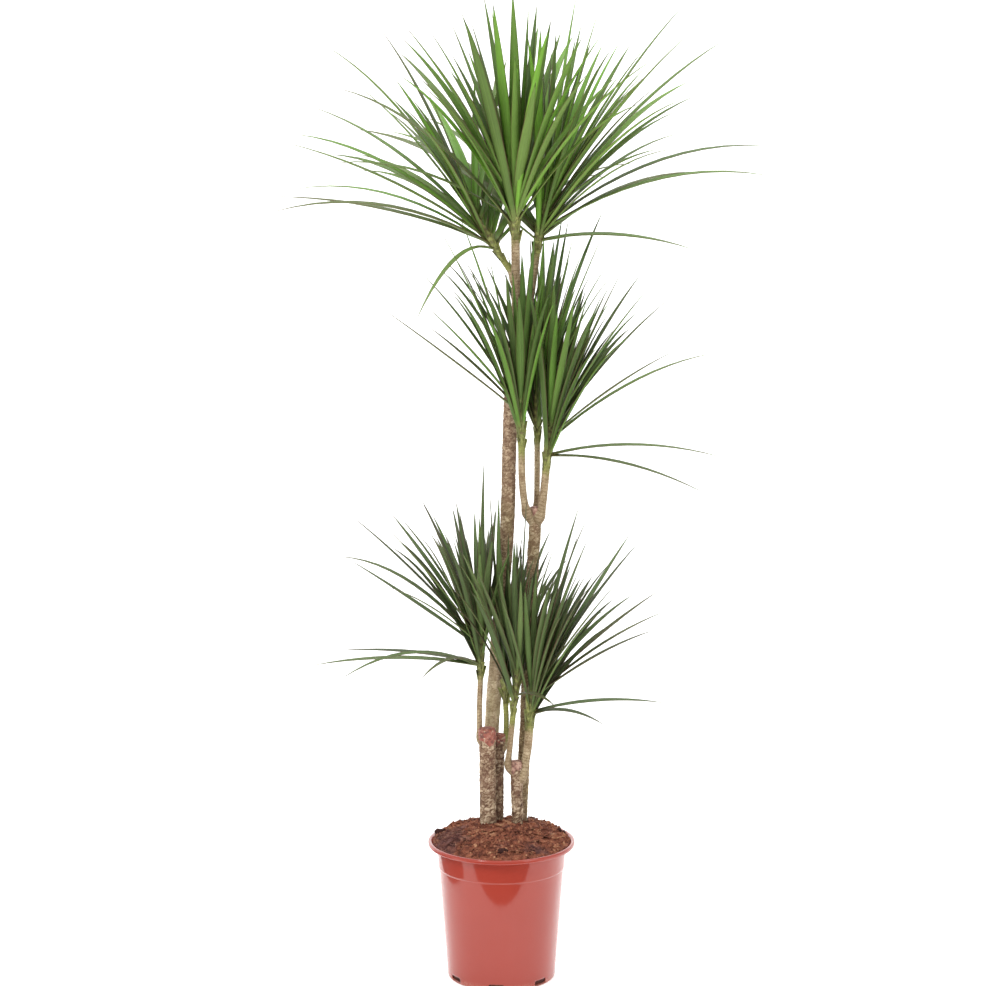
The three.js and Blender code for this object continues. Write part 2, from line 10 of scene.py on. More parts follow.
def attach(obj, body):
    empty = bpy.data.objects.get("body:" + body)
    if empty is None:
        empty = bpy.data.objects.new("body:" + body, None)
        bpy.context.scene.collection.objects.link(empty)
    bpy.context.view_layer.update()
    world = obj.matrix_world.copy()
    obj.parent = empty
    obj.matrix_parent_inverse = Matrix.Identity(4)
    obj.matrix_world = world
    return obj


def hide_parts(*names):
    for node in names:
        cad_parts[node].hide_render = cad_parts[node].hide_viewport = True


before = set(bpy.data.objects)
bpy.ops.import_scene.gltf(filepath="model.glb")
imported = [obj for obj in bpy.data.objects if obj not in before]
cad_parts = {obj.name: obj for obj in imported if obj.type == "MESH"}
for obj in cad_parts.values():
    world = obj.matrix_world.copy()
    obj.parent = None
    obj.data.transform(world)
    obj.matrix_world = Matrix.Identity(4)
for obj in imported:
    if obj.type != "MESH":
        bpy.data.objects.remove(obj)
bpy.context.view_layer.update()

mm = 0.001  # the plant's tables are in millimetres, as it would be measured
noise.seed_set(1)  # without it the bark's warp would differ from run to run
weldGap = 1e-6  # metres, nearer points are one point
print("frame loaded")


# small helpers

def mixValues(low, high, share):
    return low + (high - low) * share


def softStep(value, low, high):
    share = min(max((value - low) / (high - low), 0.0), 1.0)
    return share * share * (3 - 2 * share)


def ringNoise(angle, reach, height):
    # noise round a stem, without a seam
    return noise.noise(Vector((math.cos(angle) * reach, math.sin(angle) * reach, height)))


def startMesh(*layers):
    bm = bmesh.new()
    for name in layers:
        bm.verts.layers.float.new(name)
    return bm


def linkObject(name, data):
    made = bpy.data.objects.new(name, data)
    bpy.context.collection.objects.link(made)
    return made


def addObject(name, bm, materials, smooth=True):
    mesh = bpy.data.meshes.new(name)
    bm.to_mesh(mesh)
    bm.free()
    mesh.polygons.foreach_set("use_smooth", [smooth] * len(mesh.polygons))
    for material in materials:
        mesh.materials.append(material)
    return linkObject(name, mesh)


def placePiece(piece, node):
    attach(piece, "root")
    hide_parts(node)


# node helpers

def feedNode(tree, node, inputs):
    # links the sockets among the inputs and sets the other values
    for key, value in inputs.items():
        socket = node.inputs[key]
        if isinstance(value, bpy.types.NodeSocket):
            tree.links.new(value, socket)
        else:
            socket.default_value = (*value, 1) if socket.type == "RGBA" else value


def addNode(tree, kind, inputs=None, **settings):
    made = tree.nodes.new(kind)
    for key, value in settings.items():
        setattr(made, key, value)
    feedNode(tree, made, inputs or {})
    return made


def addNoise(tree, vector, scale, detail):
    inputs = {"Vector": vector, "Scale": scale, "Detail": detail}
    return addNode(tree, "ShaderNodeTexNoise", inputs).outputs["Fac"]


def addMath(tree, operation, *values):
    return addNode(tree, "ShaderNodeMath", dict(enumerate(values)), operation=operation).outputs[0]


def addRange(tree, value, low, high, toLow=0.0, toHigh=1.0):
    inputs = {"Value": value, "From Min": low, "From Max": high, "To Min": toLow, "To Max": toHigh}
    made = addNode(tree, "ShaderNodeMapRange", inputs, interpolation_type="SMOOTHSTEP")
    return made.outputs["Result"]


def addMix(tree, factor, first, second):
    inputs = {0: factor, 6: first, 7: second}
    return addNode(tree, "ShaderNodeMix", inputs, data_type="RGBA").outputs[2]


def addRamp(tree, value, stops):
    made = addNode(tree, "ShaderNodeValToRGB", {"Fac": value})
    elements = made.color_ramp.elements
    while len(elements) < len(stops):
        elements.new(0.5)
    for element, (place, color) in zip(elements, stops):
        element.position = place
        element.color = (*color, 1)
    return made.outputs["Color"]


def addBump(tree, height, distance, strength):
    inputs = {"Height": height, "Distance": distance, "Strength": strength}
    return addNode(tree, "ShaderNodeBump", inputs).outputs["Normal"]


def mixShaders(tree, factor, first, second, output):
    made = addNode(tree, "ShaderNodeMixShader", {0: factor, 1: first, 2: second})
    tree.links.new(made.outputs[0], output.inputs["Surface"])


def readAttribute(tree, name):
    return addNode(tree, "ShaderNodeAttribute", attribute_name=name).outputs["Fac"]


def addLevel(tree, marks, shares):
    # marks and mesh attributes, added up by their shares and held from 0 to 1
    total = 0.0
    for name, share in shares.items():
        mark = marks[name] if name in marks else readAttribute(tree, name)
        total = addMath(tree, "MULTIPLY_ADD", mark, share, total)
    total.node.use_clamp = True
    return total


mottleLook = {
    "details": {"Blotch": 3.0, "Grain": 5.0},
    "spread": (0.3, 0.7),  # the part of the noise that is stretched from 0 to 1
}


def makeMottleGroup(look):
    # broad blotches and fine grain, each from 0 to 1
    group = bpy.data.node_groups.new("mottle", "ShaderNodeTree")
    socket = group.interface.new_socket
    socket("Vector", in_out="INPUT", socket_type="NodeSocketVector")
    entry = addNode(group, "NodeGroupInput")
    leave = addNode(group, "NodeGroupOutput")
    for label, detail in look["details"].items():
        socket(label + " Scale", in_out="INPUT", socket_type="NodeSocketFloat")
        socket(label, in_out="OUTPUT", socket_type="NodeSocketFloat")
        cloud = addNoise(group, entry.outputs["Vector"], entry.outputs[label + " Scale"], detail)
        feedNode(group, leave, {label: addRange(group, cloud, *look["spread"])})
    return group


mottleGroup = makeMottleGroup(mottleLook)


def newMaterial(name):
    material = bpy.data.materials.new(name)
    material.use_nodes = True
    return material


def startMaterial(name, scales):
    # a new material, its nodes, and where to read the place, the blotches and the grain
    material = newMaterial(name)
    tree = material.node_tree
    place = addNode(tree, "ShaderNodeTexCoord").outputs["Object"]
    inputs = {"Vector": place, "Blotch Scale": scales[0], "Grain Scale": scales[1]}
    mottle = addNode(tree, "ShaderNodeGroup", inputs, node_tree=mottleGroup).outputs
    return material, tree, {"place": place, "blotch": mottle["Blotch"], "grain": mottle["Grain"]}


def endMaterial(material, inputs):
    tree = material.node_tree
    feedNode(tree, tree.nodes["Principled BSDF"], inputs)
    return material


# camera, lights and floor

cameraSetup = {
    "place": (-0.0024, -4.0, 1.422),
    "pitch": 8.83,  # degrees that it looks down
    "sensor": 36.0,
    "lens": 91.15,
}

studio = {
    "worldColor": (1.0, 1.0, 0.98),
    "worldStrength": 0.92,
    "backgroundStrength": 1.1,  # what the camera sees of it
    "floorColor": (0.88, 0.88, 0.88),
    "floorGloss": {"Roughness": 0.9, "Specular IOR Level": 0.1},
    "floorGlow": {"Emission Color": (1, 1, 1), "Emission Strength": 0.42},
    "floorSize": 9.0,
    "floorSteps": (2, 120),
    "sweepStart": 1.7,  # the floor turns up into the backdrop from here
    "sweepRadius": 1.4,
    "cardFinish": {"Base Color": (0.03, 0.028, 0.028), "Roughness": 0.8},
    "cardHeight": 0.002,
    "cards": [  # name, left, right, front and back of each dark card, which only the pot's gloss sees and which gives the pot a painted dark reflection
        ("darkReflectionCardFront", -1.0, 1.0, -2.8, -0.386),
        ("darkReflectionCardLeft", -1.1, -0.47, -0.21, 0.5),
    ],
    "cardHidden": ("camera", "diffuse", "transmission", "shadow"),  # rays that miss the cards
    "lights": [  # name, place, what it points at, size and watts
        ("keyLight", (-1.9, -2.7, 3.3), (0.0, 0.0, 0.9), 1.1, 84.0),
        ("fillLight", (2.7, -2.6, 1.7), (0.0, 0.0, 0.7), 1.5, 24.0),
        ("topLight", (0.3, 0.3, 3.7), (0.0, 0.0, 1.0), 1.6, 46.0),
    ],
}


def addCamera(setup):
    lens = bpy.data.cameras.new("photoCamera")
    lens.sensor_width = setup["sensor"]
    lens.lens = setup["lens"]
    holder = linkObject("photoCamera", lens)
    holder.location = setup["place"]
    holder.rotation_euler = (math.radians(90 - setup["pitch"]), 0, 0)
    bpy.context.scene.camera = holder


def addLight(name, place, target, size, watts):
    lamp = bpy.data.lights.new(name, "AREA")
    lamp.shape = "SQUARE"
    lamp.size = size
    lamp.energy = watts
    holder = linkObject(name, lamp)
    holder.location = place
    holder.rotation_euler = (Vector(target) - Vector(place)).to_track_quat("-Z", "Y").to_euler()
    holder.visible_camera = False


def addWorld(setup):
    world = bpy.data.worlds.new("softRoom")
    world.use_nodes = True
    tree = world.node_tree
    light = tree.nodes["Background"]
    seen = addNode(tree, "ShaderNodeBackground")
    for node, strength in ((light, setup["worldStrength"]), (seen, setup["backgroundStrength"])):
        feedNode(tree, node, {"Color": setup["worldColor"], "Strength": strength})
    isSeen = addNode(tree, "ShaderNodeLightPath").outputs["Is Camera Ray"]
    mixShaders(tree, isSeen, light.outputs[0], seen.outputs[0], tree.nodes["World Output"])
    bpy.context.scene.world = world


def makeFloorFinish(setup):
    inputs = {"Base Color": setup["floorColor"], **setup["floorGloss"], **setup["floorGlow"]}
    material = endMaterial(newMaterial("floorPaper"), inputs)
    tree = material.node_tree
    # the backdrop is clear from behind, for the views of the plant's back
    behind = addNode(tree, "ShaderNodeNewGeometry").outputs["Backfacing"]
    paper = tree.nodes["Principled BSDF"].outputs[0]
    clear = addNode(tree, "ShaderNodeBsdfTransparent").outputs[0]
    mixShaders(tree, behind, paper, clear, tree.nodes["Material Output"])
    return material


def addFloor(setup, material):
    columns, rows = setup["floorSteps"]
    start, radius = setup["sweepStart"], setup["sweepRadius"]
    bm = bmesh.new()
    bmesh.ops.create_grid(bm, x_segments=columns, y_segments=rows, size=setup["floorSize"])
    for vert in bm.verts:
        run = vert.co.y - start
        if run > 0:
            turn = min(run / radius, math.pi / 2)
            rise = max(0.0, run - radius * math.pi / 2)
            vert.co.y = start + radius * math.sin(turn)
            vert.co.z = radius * (1 - math.cos(turn)) + rise
    addObject("paleFloor", bm, [material])


def addCards(setup, material):
    # dark cards lying on the paper, hidden from all but glossy rays: they give the glossy pot a painted dark
    # reflection
    for name, left, right, front, back in setup["cards"]:
        bm = bmesh.new()
        bmesh.ops.create_grid(bm, x_segments=1, y_segments=1, size=0.5)
        shape = Matrix.Diagonal((right - left, back - front, 1, 1))
        place = Matrix.Translation(((left + right) / 2, (front + back) / 2, setup["cardHeight"]))
        bmesh.ops.transform(bm, matrix=place @ shape, verts=bm.verts)
        card = addObject(name, bm, [material])
        for rays in setup["cardHidden"]:
            setattr(card, "visible_" + rays, False)


bpy.context.scene.view_settings.view_transform = "Standard"
addCamera(cameraSetup)
addWorld(studio)
for light in studio["lights"]:
    addLight(*light)
addFloor(studio, makeFloorFinish(studio))
# dark cards that only the pot's gloss sees, for a painted dark reflection on the pot
addCards(studio, endMaterial(newMaterial("darkReflectionCardPaint"), studio["cardFinish"]))
print("camera, lights and floor placed")


# finishes, with the scales of the blotches and the grain, and distance and strength of the bump

potLook = {
    "color": (0.282, 0.03, 0.0165),
    "pale": (0.302, 0.035, 0.0205), "paleShare": 0.5,
    "dust": (0.4, 0.19, 0.13), "dustShare": 0.7, "dustRoughness": 0.3,
    "dustHeight": 0.014,  # dust thins out up to here
    "roughness": (0.36, 0.42),
    "gloss": {"Specular IOR Level": 0.08, "Coat Weight": 1.0, "Coat Roughness": 0.08},
    "scales": (13.0, 420.0), "bump": (0.0001, 0.2),
}

soilLook = {
    "stops": [(0.1, (0.035, 0.012, 0.01)), (0.38, (0.13, 0.042, 0.026)),
              (0.66, (0.27, 0.092, 0.052)), (0.95, (0.47, 0.25, 0.14))],
    "level": {"tint": 0.6, "blotch": 0.22, "grain": 0.24},
    "cool": (0.085, 0.045, 0.05),  # damp stretches
    "coolScale": 17.0, "coolDetail": 2.0, "coolFrom": (0.5, 0.62), "coolShare": 0.55,
    "gloss": {"Roughness": 0.95, "Specular IOR Level": 0.2},
    "scales": (55.0, 520.0), "bump": (0.001, 0.8), "bumpFrom": "grain",
}

barkLook = {
    "stops": [(0.08, (0.045, 0.022, 0.015)), (0.32, (0.14, 0.083, 0.05)), (0.58, (0.3, 0.215, 0.135)),
              (0.95, (0.58, 0.46, 0.33))],
    "level": {"relief": 0.86, "grain": 0.2},
    "red": (0.15, 0.068, 0.045), "redShare": 0.45,
    "freshStops": [(0.1, (0.09, 0.08, 0.025)), (0.9, (0.25, 0.26, 0.075))],
    "gloss": {"Roughness": 0.85, "Specular IOR Level": 0.3},
    "scales": (36.0, 620.0), "bump": (0.0008, 0.7),
}

waxLook = {
    "fresh": [(0.12, (0.1, 0.04, 0.03)), (0.32, (0.17, 0.055, 0.038)), (0.46, (0.27, 0.07, 0.046)),
              (0.78, (0.31, 0.11, 0.075)), (0.93, (0.46, 0.3, 0.22))],
    "worn": [(0.1, (0.09, 0.045, 0.033)), (0.45, (0.27, 0.13, 0.095)), (0.95, (0.48, 0.31, 0.23))],
    "level": {"blotch": 0.7, "grain": 0.3},
    "roughness": (0.45, 0.7), "gloss": {},
    "scales": (160.0, 700.0), "bump": (0.0015, 0.7),
}

sheathLook = {
    "stops": [(0.1, (0.11, 0.075, 0.03)), (0.5, (0.15, 0.165, 0.04)), (0.95, (0.29, 0.3, 0.085))],
    "level": {"relief": 0.7, "grain": 0.3},
    "gloss": {"Roughness": 0.6},
    "scales": (60.0, 480.0), "bump": (0.0006, 0.5),
}

leafLooks = {  # colours of the darkest leaves, the usual ones and the freshest, from old to young
    "top": [(0.055, 0.1, 0.02), (0.11, 0.215, 0.03), (0.16, 0.39, 0.03)],
    # the middle and low colours are darker than the top ones, a painted shade from the heads above them
    "middle": [(0.036, 0.068, 0.014), (0.064, 0.13, 0.018), (0.105, 0.265, 0.02)],
    "low": [(0.04, 0.058, 0.024), (0.072, 0.108, 0.036), (0.104, 0.176, 0.044)],
}

leafCommon = {
    "stops": (0.08, 0.5, 0.95),
    "level": {"shade": 0.7, "vein": 0.2, "blotch": 0.1},
    "veinScale": (26.0, 1.4, 1.0), "veinDetail": 2.0, "veinFrom": (0.35, 0.65),
    "grey": (0.155, 0.152, 0.065),
    "greyShare": 0.5,  # how far the dullest leaves go towards the grey
    "pale": (0.15, 0.24, 0.05), "root": (0.26, 0.3, 0.1),
    "margin": (0.1, 0.03, 0.026), "tip": (0.16, 0.1, 0.06),
    "bands": {  # direction, where a colour starts and ends, and its share there
        "root": ("along", 0.0, 0.07, 0.8, 0.0),
        "margin": ("across", 0.86, 0.98, 0.0, 0.8),
        "tip": ("along", 0.95, 1.0, 0.0, 0.7),
    },
    "sides": {  # the pale midrib in the same way, roughness and specular
        "Upper": (("across", 0.0, 0.1, 0.3, 0.0), (0.31, 0.44), 0.5),
        "Under": (("across", 0.0, 0.16, 0.34, 0.14), (0.5, 0.65), 0.25),
    },
    "scales": (20.0, 480.0), "bump": (0.0004, 0.45),
}


def makePotFinish(look):
    material, tree, marks = startMaterial("potPlastic", look["scales"])
    pale = addMath(tree, "MULTIPLY", marks["blotch"], look["paleShare"])
    color = addMix(tree, pale, look["color"], look["pale"])
    height = addNode(tree, "ShaderNodeSeparateXYZ", {0: marks["place"]}).outputs["Z"]
    low = addRange(tree, height, 0.0, look["dustHeight"], look["dustShare"], 0.0)
    dust = addMath(tree, "MULTIPLY", low, marks["grain"])
    smear = addRange(tree, marks["blotch"], 0.0, 1.0, *look["roughness"])
    return endMaterial(material, {
        "Base Color": addMix(tree, dust, color, look["dust"]),
        "Roughness": addMath(tree, "MULTIPLY_ADD", dust, look["dustRoughness"], smear),
        "Normal": addBump(tree, marks["grain"], *look["bump"]),
        **look["gloss"],
    })


def makeFinish(name, look, stops="stops", blend=None):
    # colours over the level, which blend may mix with others
    material, tree, marks = startMaterial(name, look["scales"])
    marks["level"] = addLevel(tree, marks, look["level"])
    color = addRamp(tree, marks["level"], look[stops])
    inputs = {
        "Base Color": blend(tree, marks, color, look) if blend else color,
        "Normal": addBump(tree, marks[look.get("bumpFrom", "level")], *look["bump"]),
        **look["gloss"],
    }
    if "roughness" in look:
        inputs["Roughness"] = addRange(tree, marks["grain"], 0.0, 1.0, *look["roughness"])
    return endMaterial(material, inputs)


def dampSoil(tree, marks, color, look):
    cloud = addNoise(tree, marks["place"], look["coolScale"], look["coolDetail"])
    damp = addRange(tree, cloud, *look["coolFrom"], 0.0, look["coolShare"])
    return addMix(tree, damp, color, look["cool"])


def freshBark(tree, marks, color, look):
    # the attribute fresh is 1 on the green ends
    red = addMath(tree, "MULTIPLY", marks["blotch"], look["redShare"])
    dry = addMix(tree, red, color, look["red"])
    green = addRamp(tree, marks["level"], look["freshStops"])
    return addMix(tree, readAttribute(tree, "fresh"), dry, green)


def makeLeafFinish(tier, look, side):
    # u runs across the blade and v from the root to the tip, shade and tone differ from leaf to leaf
    material, tree, marks = startMaterial(tier + "Leaf" + side, look["scales"])
    layout = addNode(tree, "ShaderNodeUVMap", uv_map="leafMap").outputs["UV"]
    apart = addNode(tree, "ShaderNodeSeparateXYZ", {0: layout}).outputs
    centred = addMath(tree, "MULTIPLY_ADD", apart["X"], 2.0, -1.0)
    marks["across"], marks["along"] = addMath(tree, "ABSOLUTE", centred), apart["Y"]
    stretch = addNode(tree, "ShaderNodeMapping", {"Vector": layout, "Scale": look["veinScale"]})
    cloud = addNoise(tree, stretch.outputs["Vector"], 1.0, look["veinDetail"])
    marks["vein"] = addRange(tree, cloud, *look["veinFrom"])
    level = addLevel(tree, marks, look["level"])
    color = addRamp(tree, level, list(zip(look["stops"], leafLooks[tier])))
    dull = addMath(tree, "MULTIPLY", readAttribute(tree, "tone"), look["greyShare"])
    color = addMix(tree, dull, color, look["grey"])
    midrib, roughness, specular = look["sides"][side]
    for name, (direction, *band) in {"pale": midrib, **look["bands"]}.items():
        color = addMix(tree, addRange(tree, marks[direction], *band), color, look[name])
    return endMaterial(material, {
        "Base Color": color,
        "Roughness": addRange(tree, marks["grain"], 0.0, 1.0, *roughness),
        "Specular IOR Level": specular,
        "Normal": addBump(tree, marks["vein"], *look["bump"]),
    })


# the plant's measurements

caneData = {
    "tall": {
        "radius": 11.5,
        "path": [(-28, 74, 118), (-24, 72, 249), (-14, 71, 429), (-2, 66, 590), (9, 59, 731),
                 (13, 52, 879), (18, 44, 1026)],
        "shoots": [  # radius, where the green starts as a share of the length, path
            (7, 0.95, [(19, 44, 985), (23, 32, 1030), (23, 28, 1107), (22, 26, 1214)]),
            (5.2, 0.4, [(23, 28, 1128), (17, 32, 1148), (4, 40, 1168), (-4, 44, 1180)]),
            (6.6, 0.9, [(18, 46, 990), (32, 56, 1036), (46, 62, 1110), (57, 62, 1190)]),
        ],
    },
    "medium": {
        "radius": 9.8,
        "path": [(29, 66, 118), (33, 64, 251), (40, 63, 412), (46, 61, 560), (52, 59, 690), (56, 58, 767)],
        "shoots": [
            (5.8, 0.82, [(52, 57, 738), (41, 45, 762), (34, 34, 806), (32, 26, 885)]),
            (4.8, 0.9, [(54, 60, 735), (57, 71, 766), (58, 75, 820), (58, 76, 884)]),
            (6.4, 0.85, [(55, 58, 735), (65, 50, 766), (69, 47, 800), (73, 46, 844)]),
        ],
    },
    "short_left": {
        "radius": 13.4,
        "path": [(-21, 28, 118), (-22, 28, 249), (-23, 28, 406)],
        "shoots": [(4.6, 0.92, [(-24, 31, 366), (-34, 38, 386), (-36, 39, 420), (-34, 38, 499)])],
    },
    "short_back": {
        "radius": 9.2,
        "path": [(-7, 49, 118), (-6, 49, 251), (-4, 49, 391)],
        "shoots": [(4.4, 0.3, [(-4, 50, 352), (5, 56, 376), (8, 56, 410), (6, 53, 454)])],
    },
    "short_right": {
        "radius": 9.4,
        "path": [(27, 29, 118), (26, 28, 252), (24, 28, 351)],
        "shoots": [
            (4.8, 0.75, [(23, 28, 326), (12, 27, 344), (14, 27, 378), (20, 27, 442)]),
            (7, 0.88, [(25, 28, 308), (36, 31, 338), (43, 31, 375), (46, 31, 417)]),
        ],
    },
}

# Placed leaves are right, back and up from the shoot's end to the tip, and the arch.
headData = {
    "top_left": {
        "shoot": ("tall", 1), "leaves": 36, "finer": 14, "length": 385, "width": 17, "lowest": 14,
        "placed": [
            (-360, 10, 90, 0.05), (-350, -70, 70, 0.10), (-330, -50, 175, 0.05), (-295, 40, 230, 0.08),
            (-270, -30, 325, 0.10), (-185, 10, 350, 0.08), (-130, -110, -100, 0.22),
        ],
    },
    "top_centre": {
        "shoot": ("tall", 0), "leaves": 40, "finer": 8, "length": 375, "width": 19, "lowest": 30,
        "placed": [
            (-170, -75, 320, 0.06), (-145, -105, 240, 0.05), (-100, 25, 325, 0.05), (-85, -45, 345, 0.04),
            (-50, 45, 370, 0.03), (-35, -75, 355, 0.04), (-5, -55, 375, 0.02), (30, -115, 235, 0.03),
            (130, -75, 305, 0.06),
        ],
    },
    "top_right": {
        "shoot": ("tall", 2), "leaves": 38, "finer": 14, "length": 395, "width": 18, "lowest": 14,
        "placed": [
            (60, 5, 390, 0.04), (70, 45, 350, 0.03), (150, 65, 320, 0.05), (230, -15, 380, 0.06),
            (230, -75, 330, 0.06), (160, -115, 265, 0.04), (295, 5, 325, 0.07), (185, -55, 155, 0.09),
            (360, -15, 160, 0.10), (360, -55, 115, 0.10), (250, 15, -5, 0.07),
        ],
    },
    "middle_left": {
        "shoot": ("medium", 0), "leaves": 32, "finer": 34, "length": 320, "width": 15, "lowest": 62,
        "placed": [
            (-215, -50, 210, 0.01), (-160, 20, 265, 0.05), (-145, -80, 215, 0.04), (-145, -20, 180, 0.03),
            (-125, 0, 330, 0.05), (-95, -40, 350, 0.05), (-50, -10, 285, 0.03), (20, -50, 335, 0.03),
            (-25, -70, 270, 0.04), (-5, -80, 240, 0.04), (0, 10, 300, 0.02),
        ],
    },
    "middle_back": {
        "shoot": ("medium", 1), "leaves": 30, "finer": 34, "length": 335, "width": 14, "lowest": 62,
        "placed": [
            (40, 0, 355, 0.04), (50, 30, 345, 0.03), (55, -40, 320, 0.03), (105, 30, 360, 0.05),
            (100, -10, 320, 0.04), (10, -20, 330, 0.02), (20, -70, 290, 0.03),
        ],
    },
    "middle_right": {
        "shoot": ("medium", 2), "leaves": 34, "finer": 34, "length": 315, "width": 16, "lowest": 56,
        "placed": [
            (115, -30, 305, 0.04), (85, -90, 280, 0.03), (150, 30, 300, 0.05), (155, -50, 280, 0.05),
            (190, 0, 260, 0.05), (195, -70, 185, 0.04), (265, 10, 175, 0.08), (280, -10, 10, 0.07),
            (250, -50, -42, 0.07), (40, -100, 270, 0.02), (10, -70, 300, 0.03), (15, -95, 255, 0.03),
            (-20, -80, 280, 0.03), (60, -90, 265, 0.04),
        ],
    },
    "low_left": {
        "shoot": ("short_left", 0), "leaves": 36, "finer": 36, "length": 285, "width": 14, "lowest": 56,
        "placed": [
            (-275, 30, 5, 0.05), (-238, 70, 21, 0.04), (-225, -50, 0, 0.14), (-95, -70, 5, 0.19),
            (-230, 10, 190, 0.13), (-215, 60, 175, 0.02), (-205, -20, 260, 0.03), (-145, 40, 255, 0.04),
            (-145, -60, 245, 0.04), (-125, -20, 255, 0.06), (-140, -80, 155, 0.06), (-95, 0, 285, 0.05),
            (-90, -50, 285, 0.04), (-40, 40, 275, 0.04), (-40, -70, 240, 0.03), (5, -5, 345, 0.02),
            (20, -70, 235, 0.03), (0, -75, 220, 0.03),
        ],
    },
    "low_back": {
        "shoot": ("short_back", 0), "leaves": 24, "finer": 24, "length": 300, "width": 12, "lowest": 58,
        "placed": [
            (-25, 10, 345, 0.02), (-10, 50, 345, 0.03), (-70, 30, 270, 0.05), (5, -15, 275, 0.02),
            (20, -10, 255, 0.02),
        ],
    },
    "low_centre": {
        "shoot": ("short_right", 0), "leaves": 26, "finer": 30, "length": 290, "width": 13, "lowest": 58,
        "placed": [
            (20, -10, 345, 0.02), (0, -70, 290, 0.02), (-60, -100, 250, 0.03), (65, -90, 25, 0.10),
            (-25, -90, 240, 0.03), (10, -80, 235, 0.03), (-10, -60, 240, 0.03), (30, -90, 235, 0.03),
        ],
    },
    "low_right": {
        "shoot": ("short_right", 1), "leaves": 34, "finer": 36, "length": 295, "width": 15, "lowest": 54,
        "placed": [
            (80, 40, 350, 0.04), (90, 0, 335, 0.10), (75, -20, 320, 0.03), (90, -60, 315, 0.03),
            (165, 70, 300, 0.03), (175, -10, 300, 0.04), (135, -60, 240, 0.03), (170, 40, 205, 0.07),
            (210, 20, 215, 0.03), (215, -30, 190, 0.05), (195, -80, 170, 0.05), (220, 10, 30, 0.06),
            (10, -60, 265, 0.03), (30, -85, 245, 0.03), (120, -60, 10, 0.12),
        ],
    },
}


# pot

potSize = {  # millimetres, the same as the solids
    "height": 228, "baseRadius": 88, "grooveRadius": 102.2, "grooveHeight": 184,
    "collarStep": 1.4, "collarRadius": 106, "lipRadius": 120, "lipHeight": 7, "lipRoll": 6,
    "flareHeight": 216, "wall": 2.4, "floor": 4, "footWidth": 16, "padRadius": 48, "recess": 2,
    "slotCount": 7, "slotStart": -57, "slotWidth": 25, "slotHeight": 9, "slotLift": 2.5, "slotRound": 3,
    "turns": 144, "cornerSteps": 4,
    # heights of rings that keep the shading of the straight walls even
    "bodyRings": (6.5, 14, 20, 60, 110, 150, 178, 182.5), "collarRings": (187.5, 192, 205, 214, 217),
    "innerRings": (20, 14),
}


def bodyRadius(height):
    slope = (potSize["grooveRadius"] - potSize["baseRadius"]) / potSize["grooveHeight"]
    return potSize["baseRadius"] + slope * height


def collarRadius(height):
    size = potSize
    foot = size["grooveHeight"] + size["collarStep"]
    share = (height - foot) / (size["height"] - size["lipHeight"] - foot)
    return mixValues(bodyRadius(size["grooveHeight"]) + size["collarStep"], size["collarRadius"], share)


def innerRadius(height):
    size = potSize
    heights = (0, size["grooveHeight"], size["flareHeight"], size["height"])
    radii = [size[key] - size["wall"] for key in ("baseRadius", "grooveRadius", "collarRadius")]
    return np.interp(height, heights, radii + [size["lipRadius"] - size["lipRoll"]])


def wallRings(radiusAt, heights):
    return [(radiusAt(height), height, 0) for height in heights]


def roundCorners(corners, steps):
    # each corner is a radius, a height and how far back its rounding starts
    points = []
    for index, (radius, height, back) in enumerate(corners):
        here = np.array((radius, height), float)
        if back == 0 or index in (0, len(corners) - 1):
            points.append(here)
            continue
        before = np.array(corners[index - 1][:2], float) - here
        after = np.array(corners[index + 1][:2], float) - here
        start = here + before * min(0.49, back / np.linalg.norm(before))
        end = here + after * min(0.49, back / np.linalg.norm(after))
        for share in np.linspace(0, 1, steps + 1):
            points.append(start * (1 - share) ** 2 + here * 2 * share * (1 - share) + end * share ** 2)
    return points


def spinProfile(bm, points, turns):
    ring = [bm.verts.new((radius * mm, 0, height * mm)) for radius, height in points]
    chain = [bm.edges.new(pair) for pair in zip(ring, ring[1:])]
    bmesh.ops.spin(bm, geom=ring + chain, cent=(0, 0, 0), axis=(0, 0, 1), angle=math.tau,
                   steps=turns, use_merge=True)
    bmesh.ops.remove_doubles(bm, verts=bm.verts, dist=weldGap)
    bmesh.ops.recalc_face_normals(bm, faces=bm.faces)


def cutSlots(pot, size):
    width, depth, height = (size[key] * mm for key in ("slotWidth", "footWidth", "slotHeight"))
    shape = Matrix.Diagonal((width, depth, height, 1))
    middle = (size["slotLift"] + size["slotHeight"] / 2) * mm
    lift = Matrix.Translation((0, -size["baseRadius"] * mm, middle))
    bm = bmesh.new()
    for index in range(size["slotCount"]):
        made = bmesh.ops.create_cube(bm, size=1)["verts"]
        turn = Matrix.Rotation(math.radians(size["slotStart"] + index * 360 / size["slotCount"]), 4, "Z")
        bmesh.ops.transform(bm, matrix=turn @ lift @ shape, verts=made)
    # the level edges that run towards the pot's middle are rounded
    level = [edge for edge in bm.edges if abs(edge.verts[0].co.z - edge.verts[1].co.z) < weldGap]
    radial = [edge for edge in level if edge.calc_length() < (width + depth) / 2]
    bmesh.ops.bevel(bm, geom=radial, offset=size["slotRound"] * mm, segments=4, affect="EDGES",
                    profile=0.5, material=-1)
    cutter = addObject("slotCutter", bm, [])
    cut = pot.modifiers.new("slots", "BOOLEAN")
    cut.operation = "DIFFERENCE"
    cut.solver = "EXACT"
    cut.object = cutter
    scene = bpy.context.evaluated_depsgraph_get()
    finished = bpy.data.meshes.new_from_object(pot.evaluated_get(scene))
    pot.modifiers.clear()
    pot.data = finished
    bpy.data.objects.remove(cutter)


